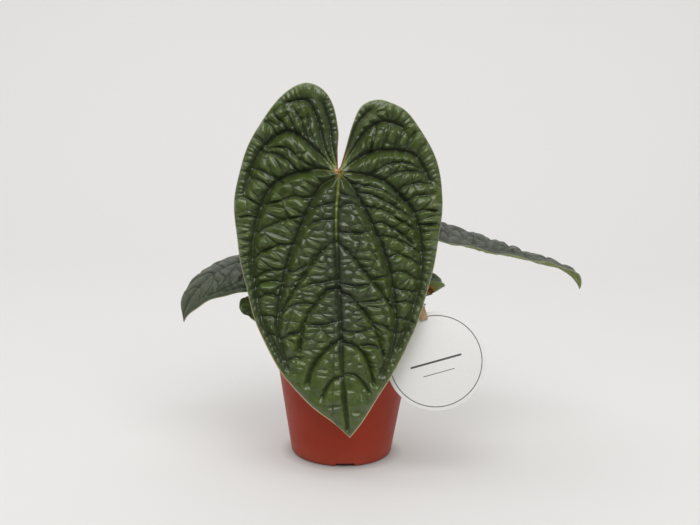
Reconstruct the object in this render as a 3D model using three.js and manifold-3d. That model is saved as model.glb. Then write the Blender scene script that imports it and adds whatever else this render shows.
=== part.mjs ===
// A potted anthurium with heavily quilted (bullate) heart-shaped leaves, in a nursery pot,
// with a round plant label held by a small wooden peg on a stick.
// Millimetres, +Z up. The origin is the middle of the plant's footprint, on the surface that the
// pot stands on, and the large leaf hangs on the -Y side. Sizes and places below are measured
// from the middle of the pot's foot.

import * as THREE from 'three';
import Module from 'manifold-3d';
import { mergeVertices } from 'three/addons/utils/BufferGeometryUtils.js';

const wasm = await Module();
wasm.setup();

// ---------------------------------------------------------------- driving dimensions

const GAP = 0.3; // clearance between pieces that touch

const POT_TOP_RADIUS = 60;
const POT_FOOT_RADIUS = 44.5;
const POT_HEIGHT = 105;
const POT_WALL = 1.6;
const POT_LIP_HEIGHT = 9;
const POT_LIP_PROUD = 1.6; // how far the lip band stands out from the wall below it
const POT_FLOOR_UNDERSIDE = 3.2;
const POT_FOOT_RING = 4; // width of the ring that the pot stands on
const POT_FOOT_ROUND = 6;
const FOOT_SLOTS = 6;
const FOOT_SLOT_WIDTH = 17;
const FOOT_SLOT_HEIGHT = 2.6;
const FLOOR_HOLES = 6;
const FLOOR_HOLE_RADIUS = 4;

const SOIL_LEVEL = 93;
const SOIL_LUMP = 2.2;

const CROWN_RADIUS = 13;
const CROWN_FOOT = 72; // height at which the stem's buried end starts
const CROWN_TOP = 108;

const PETIOLE_FOOT_RADIUS = 3.4; // of the largest leaf; smaller leaves have thinner petioles
const PETIOLE_RADIUS = 2.2;
const PETIOLE_RING = 7.5; // distance of the petioles' feet from the crown's axis
const PETIOLE_SOCKET = 10; // how deep a petiole's foot sits in the crown
const KNEE_RADIUS = 2.7; // the swelling just below the blade
const KNEE_LENGTH = 12;

const BLADE_THICKNESS = 0.9;
const VEIN_RIB = 1.1; // how far the main veins stand out underneath
const RIB_WIDTH = 2;
const BLISTER_PITCH = 9.5;
const BLISTER_HEIGHT = 2.6;
const BLISTER_STEEPNESS = 4;
const BLISTER_JITTER = 0.3; // of the pitch
const MAIN_VALLEY = 4.2; // depth of the fold along a main vein
const MAIN_VALLEY_WIDTH = 5;
const CROSS_VALLEY = 1.7;
const CROSS_VALLEY_WIDTH = 2.5;
const EDGE_WIDTH = 4; // the relief dies out over this distance from the blade's edge
const MARGIN_BAND = 8.5; // distance of the collecting vein from the blade's edge
const CROSS_VEIN_LEAN = 0.6; // rows by which a cross vein reaches the outer vein further on
const VEIN_STEP = 0.45; // spacing of the points along veins and edge, of the blister pitch
const LEAST_SPACING = 0.37; // of any two points of the blade's mesh, of the blister pitch

const SHEATHS = [ // dry bracts around the crown: direction, height, distance outside the inner ones
  { angle: 62, height: 34, layer: 0 },
  { angle: 112, height: 24, layer: 1.4 },
  { angle: -122, height: 20, layer: 0 },
];
const SHEATH_FOOT = 97;
const SHEATH_THICKNESS = 0.8;

const CARD_RADIUS = 40;
const CARD_THICKNESS = 0.8;
const CARD_CENTRE = [73.3, -64, 101];
const CARD_LEAN = 8; // degrees that the card's top leans back
const CARD_TURN = 17; // degrees that the card is turned in its own plane
const PEG_LENGTH = 30;
const PEG_WIDTH = 6;
const PEG_BITE = 5; // how far the jaws reach over the card's edge
const PEG_JAW = 2.2; // distance of an arm's outer face from the card's plane at the jaws
const PEG_TAIL = 5.2; // and at the finger end
const SPRING_PLACE = 11.2; // distance of the spring from the jaws' tips
const WIRE_RADIUS = 0.45;
const COIL_RADIUS = 1.1;
const STICK_RADIUS = 1.25;
const STICK_FOOT = [18, -30, 62];
const STICK_REACH = 20; // height of the stick's end above the jaws' tips, along the peg

const degrees = THREE.MathUtils.degToRad;
const point = (x, y, z) => new THREE.Vector3(x, y, z);

// ---------------------------------------------------------------- the flat leaf
// The largest leaf laid flat: u across the blade, v from the petiole towards the tip,
// the notch between the lobes at the origin. Smaller leaves are scaled from it.

const TIP = [5, 208];
const LEAF_LENGTH = 208;
const LEAF_HALF_WIDTH = 82;

const MARGINS = {
  left: [[0, -2], [0, -17], [1, -32], [-3, -52], [-12, -65], [-26, -69], [-43, -59], [-62, -36],
    [-75, -10], [-82, 18], [-81, 50], [-73, 94], [-63, 126], [-48, 155], [-29, 179], [-10, 194], TIP],
  right: [[2, -4], [6, -17], [12, -36], [19, -50], [30, -55], [41, -53], [56, -44], [71, -22],
    [80, 0], [82, 20], [80, 46], [74, 75], [65, 106], [50, 141], [32, 171], [16, 194], TIP],
};

const MIDRIB = [[1, 2], [-2, 33], [-2, 70], [-1, 100], [0, 135], [1, 166], [4, 200]];

// Main veins of each half, from the one next to the midrib outwards to the one along the notch.
const MAIN_VEINS = {
  left: [
    [[0, 3], [-15, 13], [-28, 39], [-41, 72], [-49, 108], [-49, 127], [-43, 152]],
    [[-2, 0], [-18, -2], [-41, 3], [-54, 13], [-64, 34], [-69, 62], [-67, 90], [-62, 114], [-46, 147]],
    [[-2, -1], [-20, -20], [-37, -32], [-54, -24], [-66, -8], [-74, 14]],
    [[-1, -2], [-9, -15], [-15, -39], [-23, -55], [-38, -54]],
    [[-1, -3], [-4, -18], [-6, -36], [-11, -53]],
  ],
  right: [
    [[3, 3], [13, 16], [28, 47], [38, 75], [43, 112], [40, 137], [31, 158]],
    [[3, 1], [15, 2], [32, 6], [44, 15], [59, 33], [64, 56], [64, 78], [58, 105], [44, 138]],
    [[4, -1], [12, -7], [24, -14], [36, -16], [50, -15], [62, -10], [72, 8]],
    [[3, -2], [11, -15], [23, -31], [36, -38], [50, -34]],
    [[3, -3], [9, -19], [16, -36], [25, -46]],
  ],
};

// Side veins that leave the midrib.
const SIDE_VEINS = {
  left: [
    [[-2, 55], [-11, 59], [-29, 82], [-47, 109]],
    [[-1, 91], [-12, 94], [-27, 114], [-33, 140]],
    [[0, 131], [-9, 136], [-22, 151], [-27, 165]],
    [[1, 160], [-8, 163], [-16, 176]],
  ],
  right: [
    [[-1, 56], [8, 64], [29, 91], [41, 107]],
    [[0, 94], [9, 99], [25, 120], [33, 145]],
    [[1, 133], [10, 136], [19, 145], [25, 166]],
    [[2, 158], [12, 160], [21, 172]],
  ],
};

// Each leaf: its flat leaf's scale, mirrored or not, where its notch is, and how it is bent.
// heading, pitch and roll set the blade's direction at the notch (degrees); droop bends it down
// by that much at the tip, the later the higher the power; lobe bends the lobes; swing turns the
// blade in its own plane; twist turns the tip about the midrib; fold opens the two halves
// upwards at the midrib and curl bends them back towards the margins. The petiole leaves the
// crown at the angle footAngle, passes through the points of petioleRoute and meets the blade's
// back square to it, or slanting from the crown's side by kneeLean. quilting above 1 makes the
// blisters broader.
const LEAVES = [
  {
    name: 'leaf_front', scale: 1, side: 1, notch: [-6.9, -62, 250.1],
    heading: -90, pitch: -80, roll: 0, droop: 5, power: 1.5, lobe: 0, swing: 2.4, twist: 0,
    fold: 6, curl: -22, footAngle: -90, kneeLean: 0, quilting: 1,
    petioleRoute: [[2, -24, 160], [-4, -36, 225]],
  },
  {
    name: 'leaf_left', scale: 0.59, side: 1, notch: [-35.4, 11.3, 171.2],
    heading: 200, pitch: 0, roll: -8.5, droop: 66, power: 1.5, lobe: 10, swing: 0, twist: -3,
    fold: 10, curl: -53, footAngle: 160, kneeLean: 0.6, quilting: 1,
    petioleRoute: [[-17, 6, 132]],
  },
  {
    name: 'leaf_right', scale: 0.85, side: -1, notch: [36.2, 16.5, 211.5],
    heading: 9, pitch: -19, roll: -6, droop: 24, power: 12, lobe: 5, swing: -4, twist: -8,
    fold: 3, curl: -29, footAngle: 20, kneeLean: 0.6, quilting: 1.25,
    petioleRoute: [[12, 8, 140], [24, 13, 180]],
  },
  {
    name: 'leaf_small_left', scale: 0.26, side: 1, notch: [-45.7, -8.8, 131],
    heading: 222, pitch: 9, roll: -25, droop: 11, power: 1.5, lobe: -10, swing: 2, twist: -10,
    fold: -9, curl: -20, footAngle: 215, kneeLean: 0.5, quilting: 1,
    petioleRoute: [[-20, -5, 114]],
  },
  {
    name: 'leaf_small_right', scale: 0.3, side: -1, notch: [51.9, -4, 135.4],
    heading: -60, pitch: 16, roll: 0, droop: -18, power: 1.5, lobe: 5, swing: 0, twist: 0,
    fold: 55, curl: -14, footAngle: -35, kneeLean: 0.9, quilting: 1,
    petioleRoute: [[18, -3, 109], [34, -4, 119]],
  },
];

// ---------------------------------------------------------------- small helpers

/** A repeatable random number from 0 to 1 for a pair of whole numbers. */
function scatter(a, b) {
  const wave = Math.sin(a * 127.1 + b * 311.7) * 43758.5453;
  return wave - Math.floor(wave);
}

function curveThrough(points, side = 1) {
  return new THREE.SplineCurve(points.map(([u, v]) => new THREE.Vector2(side * u, v)));
}

function samples(curve, step) {
  return curve.getSpacedPoints(Math.max(2, Math.round(curve.getLength() / step)));
}

/** Distance from p to a line of points. */
function distanceTo(line, p) {
  let best = Infinity;
  for (let i = 1; i < line.length; i += 1) {
    const a = line[i - 1];
    const ux = line[i].x - a.x;
    const uy = line[i].y - a.y;
    const along = ((p.x - a.x) * ux + (p.y - a.y) * uy) / (ux * ux + uy * uy);
    const t = Math.min(1, Math.max(0, along));
    best = Math.min(best, Math.hypot(p.x - a.x - t * ux, p.y - a.y - t * uy));
  }
  return best;
}

const nearest = (lines, p) => Math.min(...lines.map((line) => distanceTo(line, p)));

function isInside(loop, p) {
  let inside = false;
  for (let i = 0, j = loop.length - 1; i < loop.length; j = i, i += 1) {
    const a = loop[i];
    const b = loop[j];
    const straddles = (a.y > p.y) !== (b.y > p.y);
    if (straddles && p.x < ((b.x - a.x) * (p.y - a.y)) / (b.y - a.y) + a.x) inside = !inside;
  }
  return inside;
}

/** Delaunay triangles of flat points, each counter-clockwise, as corners and circumcircle. */
function delaunay(points) {
  const count = points.length;
  const far = 1e4;
  const all = [...points, { x: -far, y: -far }, { x: far, y: -far }, { x: 0, y: far }];
  const triangle = (a, b, c) => {
    const [A, B, C] = [all[a], all[b], all[c]];
    const d = 2 * ((B.x - A.x) * (C.y - A.y) - (B.y - A.y) * (C.x - A.x));
    const b2 = (B.x - A.x) ** 2 + (B.y - A.y) ** 2;
    const c2 = (C.x - A.x) ** 2 + (C.y - A.y) ** 2;
    const x = ((C.y - A.y) * b2 - (B.y - A.y) * c2) / d;
    const y = ((B.x - A.x) * c2 - (C.x - A.x) * b2) / d;
    return { corners: [a, b, c], x: A.x + x, y: A.y + y, reach: x * x + y * y };
  };
  let triangles = [triangle(count, count + 1, count + 2)];
  points.forEach((p, i) => {
    const open = new Map();
    triangles = triangles.filter((t) => {
      if ((p.x - t.x) ** 2 + (p.y - t.y) ** 2 >= t.reach) return true;
      const [a, b, c] = t.corners;
      for (const [from, to] of [[a, b], [b, c], [c, a]]) {
        if (!open.delete(`${to},${from}`)) open.set(`${from},${to}`, [from, to]);
      }
      return false;
    });
    for (const [from, to] of open.values()) triangles.push(triangle(from, to, i));
  });
  return triangles.filter((t) => t.corners.every((corner) => corner < count));
}

function meshFrom(vertices, triangles) {
  const geometry = new THREE.BufferGeometry();
  geometry.setAttribute('position', new THREE.Float32BufferAttribute(vertices.flat(), 3));
  geometry.setIndex(triangles.flat());
  return geometry;
}

/** A closed round tube through points, with a radius at each of its stations. */
function sweep(through, radiusAt, stations, sides) {
  const curve = new THREE.CatmullRomCurve3(through);
  const frames = curve.computeFrenetFrames(stations, false);
  const vertices = [];
  const triangles = [];
  for (let i = 0; i <= stations; i += 1) {
    const t = i / stations;
    const centre = curve.getPointAt(t);
    for (let k = 0; k < sides; k += 1) {
      const angle = (2 * Math.PI * k) / sides;
      const spot = centre.clone()
        .addScaledVector(frames.normals[i], radiusAt(t) * Math.cos(angle))
        .addScaledVector(frames.binormals[i], radiusAt(t) * Math.sin(angle));
      vertices.push(spot.toArray());
    }
  }
  const first = vertices.push(curve.getPointAt(0).toArray()) - 1;
  const last = vertices.push(curve.getPointAt(1).toArray()) - 1;
  for (let k = 0; k < sides; k += 1) {
    const next = (k + 1) % sides;
    const end = stations * sides;
    triangles.push([first, next, k], [last, end + k, end + next]);
    for (let i = 0; i < stations; i += 1) {
      const a = i * sides + k;
      const b = i * sides + next;
      triangles.push([a, b, b + sides], [a, b + sides, a + sides]);
    }
  }
  return meshFrom(vertices, triangles);
}

/** A solid for cutting: the mesh with its shared vertices merged and flat triangles dropped. */
function solidOf(geometry) {
  const bare = geometry.clone();
  bare.deleteAttribute('normal');
  bare.deleteAttribute('uv');
  const merged = mergeVertices(bare, 1e-4);
  const index = Array.from(merged.index.array);
  const corners = [];
  for (let i = 0; i < index.length; i += 3) {
    const [a, b, c] = index.slice(i, i + 3);
    if (a !== b && b !== c && c !== a) corners.push(a, b, c);
  }
  return new wasm.Manifold(new wasm.Mesh({
    numProp: 3,
    vertProperties: new Float32Array(merged.attributes.position.array),
    triVerts: new Uint32Array(corners),
  }));
}

function geometryOf(solid) {
  const mesh = solid.getMesh();
  const geometry = new THREE.BufferGeometry();
  geometry.setAttribute('position', new THREE.Float32BufferAttribute(mesh.vertProperties, 3));
  geometry.setIndex(Array.from(mesh.triVerts));
  return geometry;
}

/** A closed shell from two matching skins: the upper one's triangles, the lower's and the rim. */
function shell(upper, lower, faces) {
  const count = upper.length;
  const triangles = [];
  const rim = new Map();
  faces.forEach(([a, b, c]) => {
    triangles.push([a, b, c], [count + a, count + c, count + b]);
    for (const [from, to] of [[a, b], [b, c], [c, a]]) {
      if (!rim.delete(`${to},${from}`)) rim.set(`${from},${to}`, [from, to]);
    }
  });
  for (const [from, to] of rim.values()) {
    triangles.push([from, count + from, count + to], [from, count + to, to]);
  }
  return meshFrom([...upper, ...lower], triangles);
}

const finish = (color, roughness) => (
  new THREE.MeshStandardMaterial({ color, roughness, metalness: 0 }));

const anthurium = new THREE.Group();

function add(name, geometry, material, parent = anthurium) {
  const mesh = new THREE.Mesh(geometry, material);
  mesh.name = name;
  parent.add(mesh);
}

// ---------------------------------------------------------------- leaf blades

/** Veins, blister centres and outline of one leaf, still flat. */
function layOut(leaf) {
  const pitch = (BLISTER_PITCH * leaf.quilting) / leaf.scale ** 0.8;
  const margins = ['left', 'right'].map((half) => curveThrough(MARGINS[half], leaf.side));
  const fine = VEIN_STEP * pitch;
  const [leftEdge, rightEdge] = margins.map((curve) => samples(curve, fine));
  const outline = [...leftEdge, ...rightEdge.slice(0, -1).reverse()];
  const midrib = curveThrough(MIDRIB, leaf.side);
  const main = [midrib];
  const cross = [];
  const centres = [];

  ['left', 'right'].forEach((half, h) => {
    const veins = MAIN_VEINS[half].map((points) => curveThrough(points, leaf.side));
    const ladder = [midrib, ...veins];
    main.push(...veins);
    cross.push(...SIDE_VEINS[half].map((points) => samples(curveThrough(points, leaf.side), fine)));
    // Rows of blisters run across each strip between two neighbouring veins, and every second
    // row is parted from the next by a cross vein. Beside the midrib the rows end short of the
    // tip, where the next vein joins the margin.
    for (let strip = 0; strip + 1 < ladder.length; strip += 1) {
      const inner = ladder[strip];
      const outer = ladder[strip + 1];
      const innerEnd = strip === 0 ? 0.8 : 1;
      const rows = Math.round(outer.getLength() / pitch);
      for (let row = 1; row < rows; row += 1) {
        const from = inner.getPointAt((row / rows) * innerEnd);
        const to = outer.getPointAt(Math.min(1, (row + CROSS_VEIN_LEAN) / rows));
        const across = Math.round(from.distanceTo(to) / pitch);
        for (let k = 0; k < across; k += 1) {
          const along = (k + 0.5 + BLISTER_JITTER * (scatter(row + 40 * h, k + 9 * strip) - 0.5)) / across;
          const aside = pitch * BLISTER_JITTER * (scatter(k, row + strip) - 0.5);
          const centre = from.clone().lerp(to, along);
          centres.push(centre.setY(centre.y + aside));
        }
        if (strip > 0 && row % 2 === 0 && across > 1) {
          cross.push(samples(new THREE.LineCurve(from, to), fine));
        }
      }
    }
    // One row of narrow blisters runs along the margin.
    const heart = new THREE.Vector2(0, LEAF_LENGTH / 3);
    samples(margins[h], 0.85 * pitch).slice(1, -1).forEach((p) => {
      const inward = heart.clone().sub(p).setLength(MARGIN_BAND / 2);
      centres.push(p.clone().add(inward));
    });
  });
  return { outline, main: main.map((curve) => samples(curve, fine)), cross, centres, pitch };
}

/** Height of the upper face at a flat point, from the veins, the blisters and the margin. */
function relief(flat, p) {
  const vein = nearest(flat.main, p);
  const edge = distanceTo([...flat.outline, flat.outline[0]], p);
  const collecting = Math.min(vein, Math.abs(edge - MARGIN_BAND) + 1); // a shallower vein
  const cross = nearest(flat.cross, p);
  let first = Infinity;
  let second = Infinity;
  for (const centre of flat.centres) {
    const d = Math.hypot(p.x - centre.x, p.y - centre.y);
    if (d < first) [first, second] = [d, first];
    else second = Math.min(second, d);
  }
  const pillow = 1 - Math.exp((-BLISTER_STEEPNESS * (second - first)) / flat.pitch);
  const height = BLISTER_HEIGHT * pillow * (1 - Math.exp(-collecting / CROSS_VALLEY_WIDTH))
    - MAIN_VALLEY * Math.exp(-vein / MAIN_VALLEY_WIDTH)
    - CROSS_VALLEY * Math.exp(-cross / CROSS_VALLEY_WIDTH);
  return height * (1 - Math.exp(-edge / EDGE_WIDTH));
}

/** Maps a flat point and a height above the blade to its place in the plant. */
function bend(leaf, p, height) {
  const size = leaf.scale;
  const swing = degrees(leaf.swing);
  const u = size * (p.x * Math.cos(swing) + p.y * Math.sin(swing));
  const v = size * (p.y * Math.cos(swing) - p.x * Math.sin(swing));
  const length = LEAF_LENGTH * size;
  const slope = (x) => degrees(x >= 0
    ? leaf.pitch - leaf.droop * (x / length) ** leaf.power
    : leaf.pitch + leaf.lobe * Math.abs(x / length));
  const steps = 24;
  let run = 0;
  let rise = 0;
  for (let i = 0; i < steps; i += 1) {
    const here = slope((v * (i + 0.5)) / steps);
    run += (Math.cos(here) * v) / steps;
    rise += (Math.sin(here) * v) / steps;
  }
  const heading = degrees(leaf.heading);
  const ahead = point(Math.cos(heading), Math.sin(heading), 0);
  const up = point(0, 0, 1);
  const tilt = slope(v);
  const along = ahead.clone().multiplyScalar(Math.cos(tilt)).addScaledVector(up, Math.sin(tilt));
  const normal = ahead.clone().multiplyScalar(-Math.sin(tilt)).addScaledVector(up, Math.cos(tilt));
  const turn = degrees(leaf.roll + leaf.twist * Math.min(1, Math.max(-1, v / length)));
  normal.applyAxisAngle(along, turn);
  const sideways = normal.clone().cross(along);

  const fold = degrees(leaf.fold);
  const bendRate = degrees(leaf.curl) / (LEAF_HALF_WIDTH * size);
  const lean = fold + bendRate * Math.abs(u);
  const out = (Math.sin(lean) - Math.sin(fold)) / bendRate;
  const lift = (Math.cos(fold) - Math.cos(lean)) / bendRate;
  const half = Math.sign(u);
  return point(...leaf.notch)
    .addScaledVector(ahead, run)
    .addScaledVector(up, rise)
    .addScaledVector(sideways, half * (out - Math.sin(lean) * height))
    .addScaledVector(normal, lift + Math.cos(lean) * height);
}

/** Heights of the blade's upper and lower faces at a flat point. */
function faceHeights(leaf, flat, p) {
  const height = relief(flat, p) * Math.sqrt(leaf.scale);
  const rib = VEIN_RIB * leaf.scale * Math.exp(-((nearest(flat.main, p) / RIB_WIDTH) ** 2));
  return { upper: height + BLADE_THICKNESS / 2, lower: height - BLADE_THICKNESS / 2 - rib };
}

/** The blade as a closed shell, with spare room around its two faces for cutting a seat. */
function bladeGeometry(leaf, flat, room = 0) {
  const { outline, pitch } = flat;
  const chosen = [...outline];
  const offer = ({ x, y }) => {
    const clear = chosen.every((q) => Math.hypot(x - q.x, y - q.y) > LEAST_SPACING * pitch);
    if (clear && isInside(outline, { x, y })) chosen.push({ x, y });
  };
  // Points go along the veins first, then on the blisters' tops, then where three blisters meet.
  flat.main.flat().forEach(offer);
  flat.cross.flat().forEach(offer);
  flat.centres.forEach(offer);
  delaunay(flat.centres).forEach(offer);

  const faces = delaunay(chosen)
    .map((t) => t.corners)
    .filter((corners) => isInside(outline, {
      x: corners.reduce((sum, corner) => sum + chosen[corner].x / 3, 0),
      y: corners.reduce((sum, corner) => sum + chosen[corner].y / 3, 0),
    }))
    .map(([a, b, c]) => [a, c, b]);
  const heights = chosen.map((p) => faceHeights(leaf, flat, p));
  const upper = chosen.map((p, i) => bend(leaf, p, heights[i].upper + room).toArray());
  const lower = chosen.map((p, i) => bend(leaf, p, heights[i].lower - room).toArray());
  return shell(upper, lower, faces);
}

// ---------------------------------------------------------------- petioles and crown

/** The line of a petiole: up out of its socket, along its route, and into the blade's back. */
function petioleLine(leaf, flat) {
  const angle = degrees(leaf.footAngle);
  const foot = point(PETIOLE_RING * Math.cos(angle), PETIOLE_RING * Math.sin(angle),
    CROWN_TOP - PETIOLE_SOCKET);
  const out = point(Math.cos(angle), Math.sin(angle), 8).normalize();
  const joint = new THREE.Vector2(leaf.side * 0.5, 5 / leaf.scale);
  const depth = faceHeights(leaf, flat, joint).lower - 0.2 * KNEE_RADIUS * leaf.kneeLean;
  const end = bend(leaf, joint, depth);
  const normal = end.clone().sub(bend(leaf, joint, depth - 1));
  const ahead = bend(leaf, { x: joint.x, y: joint.y + 1 }, depth).sub(end).normalize();
  const arrival = normal.addScaledVector(ahead, leaf.kneeLean).normalize();
  return {
    foot,
    out,
    through: [
      foot,
      foot.clone().addScaledVector(out, PETIOLE_SOCKET + 2),
      ...leaf.petioleRoute.map((place) => point(...place)),
      end.clone().addScaledVector(arrival, -KNEE_LENGTH),
      end.clone().addScaledVector(arrival, -KNEE_LENGTH / 2),
      end,
    ],
  };
}

function petioleRadius(leaf, extra = 0) {
  const thin = leaf.scale ** 0.4;
  return (t) => {
    const shaft = THREE.MathUtils.lerp(PETIOLE_FOOT_RADIUS, PETIOLE_RADIUS, Math.min(1, 2.5 * t));
    const knee = (KNEE_RADIUS - PETIOLE_RADIUS) * THREE.MathUtils.smoothstep(t, 0.86, 0.93);
    return thin * (shaft + knee) + extra;
  };
}

function crownGeometry(lines) {
  const girth = CROWN_RADIUS;
  const profile = [[0, CROWN_FOOT], [0.6, CROWN_FOOT], [0.85, CROWN_FOOT + 6], [1, SOIL_LEVEL],
    [0.94, SOIL_LEVEL + 5], [1, SOIL_LEVEL + 8], [0.95, CROWN_TOP - 3], [0.7, CROWN_TOP],
    [0, CROWN_TOP + 1]];
  const body = new THREE.LatheGeometry(profile.map(([r, z]) => new THREE.Vector2(r * girth, z)), 24);
  body.rotateX(Math.PI / 2);
  let crown = solidOf(body);
  LEAVES.forEach((leaf, i) => {
    const { foot, out, through } = lines[i];
    const room = [foot.clone().addScaledVector(out, -GAP), ...through.slice(1)];
    crown = crown.subtract(solidOf(sweep(room, petioleRadius(leaf, 1.3 * GAP), 24, 12)));
  });
  return crown;
}

/** A dry bract: a pointed husk that stands against the crown and leans out towards its tip. */
function sheathGeometry({ angle, height, layer }) {
  const rows = 8;
  const columns = 6;
  const upper = [];
  const lower = [];
  const faces = [];
  for (let i = 0; i <= rows; i += 1) {
    const t = i / rows;
    const radius = CROWN_RADIUS + GAP + 0.2 + layer + 9 * t * t;
    const spread = 42 * (1 - t ** 2.5) + 1.5;
    for (let k = 0; k <= columns; k += 1) {
      const turn = degrees(angle + spread * ((2 * k) / columns - 1));
      const z = SHEATH_FOOT + height * t;
      const inner = radius;
      const outer = radius + SHEATH_THICKNESS;
      upper.push([outer * Math.cos(turn), outer * Math.sin(turn), z]);
      lower.push([inner * Math.cos(turn), inner * Math.sin(turn), z]);
    }
  }
  for (let i = 0; i < rows; i += 1) {
    for (let k = 0; k < columns; k += 1) {
      const a = i * (columns + 1) + k;
      const b = a + columns + 1;
      faces.push([a, a + 1, b + 1], [a, b + 1, b]);
    }
  }
  return shell(upper, lower, faces);
}

// ---------------------------------------------------------------- pot and soil

const potRadius = (z) => THREE.MathUtils.lerp(POT_FOOT_RADIUS, POT_TOP_RADIUS - POT_LIP_PROUD,
  z / (POT_HEIGHT - POT_LIP_HEIGHT));

function turned(profile, segments) {
  const geometry = new THREE.LatheGeometry(profile.map(([r, z]) => new THREE.Vector2(r, z)), segments);
  return geometry.rotateX(Math.PI / 2);
}

function potGeometry() {
  const lipFoot = POT_HEIGHT - POT_LIP_HEIGHT;
  const floor = POT_FLOOR_UNDERSIDE + POT_WALL;
  const round = [20, 45, 70].map((turn) => [
    potRadius(POT_FOOT_ROUND) - POT_FOOT_ROUND * (1 - Math.sin(degrees(turn))),
    POT_FOOT_ROUND * (1 - Math.cos(degrees(turn))),
  ]);
  const ringOuter = potRadius(0) - POT_FOOT_ROUND;
  const profile = [
    [0, POT_FLOOR_UNDERSIDE],
    [ringOuter - POT_FOOT_RING, POT_FLOOR_UNDERSIDE],
    [ringOuter - POT_FOOT_RING, 0],
    [ringOuter, 0],
    ...round,
    [potRadius(POT_FOOT_ROUND), POT_FOOT_ROUND],
    [potRadius(lipFoot), lipFoot],
    [POT_TOP_RADIUS - 0.3, lipFoot + 0.6],
    [POT_TOP_RADIUS, POT_HEIGHT - 1],
    [POT_TOP_RADIUS - 1, POT_HEIGHT],
    [POT_TOP_RADIUS - POT_LIP_PROUD - POT_WALL, POT_HEIGHT],
    [potRadius(lipFoot) - POT_WALL, lipFoot],
    [potRadius(floor) - POT_WALL - 1, floor],
    [0, floor],
  ];
  let pot = solidOf(turned(profile, 48));
  for (let k = 0; k < FOOT_SLOTS; k += 1) {
    const through = 2 * (POT_FOOT_RING + POT_FOOT_ROUND);
    const slot = new THREE.BoxGeometry(FOOT_SLOT_WIDTH, through, 2 * FOOT_SLOT_HEIGHT);
    slot.translate(0, -ringOuter, 0).rotateZ((2 * Math.PI * k) / FOOT_SLOTS);
    pot = pot.subtract(solidOf(slot));
  }
  for (let k = 0; k < FLOOR_HOLES; k += 1) {
    const hole = new THREE.CylinderGeometry(FLOOR_HOLE_RADIUS, FLOOR_HOLE_RADIUS, 20, 16);
    hole.rotateX(Math.PI / 2).translate(0.55 * POT_FOOT_RADIUS, 0, 0);
    hole.rotateZ((2 * Math.PI * (k + 0.5)) / FLOOR_HOLES);
    pot = pot.subtract(solidOf(hole));
  }
  return geometryOf(pot);
}

/** Unevenness of the soil, from about -1 to 1. */
const lump = (x, y) => (
  0.6 * Math.sin(0.31 * x + 1.3) * Math.cos(0.27 * y) + 0.4 * Math.sin(0.63 * y + 0.4 * x));

function soilGeometry(...holes) {
  const floor = POT_FLOOR_UNDERSIDE + POT_WALL + GAP;
  const wall = (z) => potRadius(z) - POT_WALL - GAP - 0.1;
  const top = [1, 0.86, 0.7, 0.54, 0.38, 0.2].map((part) => [part * wall(SOIL_LEVEL), SOIL_LEVEL]);
  const body = turned([[0, floor], [wall(floor) - 1.2, floor], ...top, [0, SOIL_LEVEL]], 36);
  const places = body.attributes.position;
  for (let i = 0; i < places.count; i += 1) {
    const [x, y, z] = [places.getX(i), places.getY(i), places.getZ(i)];
    if (z > floor + 1) places.setZ(i, z + SOIL_LUMP * lump(x, y));
  }
  let soil = solidOf(body);
  holes.forEach((hole) => { soil = soil.subtract(hole); });
  return geometryOf(soil);
}

// ---------------------------------------------------------------- plant label
// Its own frame: the card's plane is y = 0 with the printed face towards -y, z up the card.

const label = new THREE.Group();
label.position.set(...CARD_CENTRE);
label.rotation.set(degrees(-CARD_LEAN), degrees(-CARD_TURN), 0);
label.updateMatrixWorld(true);
anthurium.add(label);

const jawTips = CARD_RADIUS - PEG_BITE;
const armFace = (z) => THREE.MathUtils.lerp(PEG_JAW, PEG_TAIL, z / PEG_LENGTH);

/** One wooden arm of the peg, on the +y side: a jaw, a notch for the spring and a thinner tail. */
function armGeometry() {
  const jaw = CARD_THICKNESS / 2 + GAP;
  const notch = COIL_RADIUS + GAP + 0.1;
  const side = [[jaw, 0], [jaw, 8], [notch, SPRING_PLACE - 1.6], [notch, SPRING_PLACE + 1.6],
    [armFace(PEG_LENGTH) - 1.8, PEG_LENGTH], [armFace(PEG_LENGTH), PEG_LENGTH], [armFace(0), 0]];
  const shape = new THREE.Shape(side.map(([y, z]) => new THREE.Vector2(y, z)));
  const arm = new THREE.ExtrudeGeometry(shape, { depth: PEG_WIDTH, bevelEnabled: false, steps: 1 });
  // The shape's x and y become the label's y and z, and its depth becomes the label's x.
  arm.translate(0, 0, -PEG_WIDTH / 2);
  arm.applyMatrix4(new THREE.Matrix4().set(0, 0, 1, 0, 1, 0, 0, 0, 0, 1, 0, jawTips, 0, 0, 0, 1));
  return arm;
}

/** The spring's wire: a leg across each arm's back and the coil between the arms. */
function springGeometry() {
  const across = PEG_WIDTH / 2 + WIRE_RADIUS + GAP;
  const behind = armFace(SPRING_PLACE) + WIRE_RADIUS + GAP;
  const z = jawTips + SPRING_PLACE;
  const route = [[-1.5, -behind], [across - 0.6, -behind], [across, -behind + 0.8], [across, -0.9],
    [across - 0.7, 0], [0, 0], [0.7 - across, 0], [-across, 0.9], [-across, behind - 0.8],
    [0.6 - across, behind], [1.5, behind]];
  const coil = (t) => (Math.abs(t - 0.5) < 0.12 ? COIL_RADIUS : WIRE_RADIUS);
  return sweep(route.map(([x, y]) => point(x, y, z)), coil, 32, 6);
}

function stickSolid(extra) {
  const end = label.localToWorld(point(0, armFace(STICK_REACH), jawTips + STICK_REACH));
  const foot = point(...STICK_FOOT);
  const out = end.clone().sub(foot).normalize();
  return solidOf(sweep([foot.addScaledVector(out, -extra), end.addScaledVector(out, 4)],
    () => STICK_RADIUS + extra, 4, 14));
}

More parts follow.
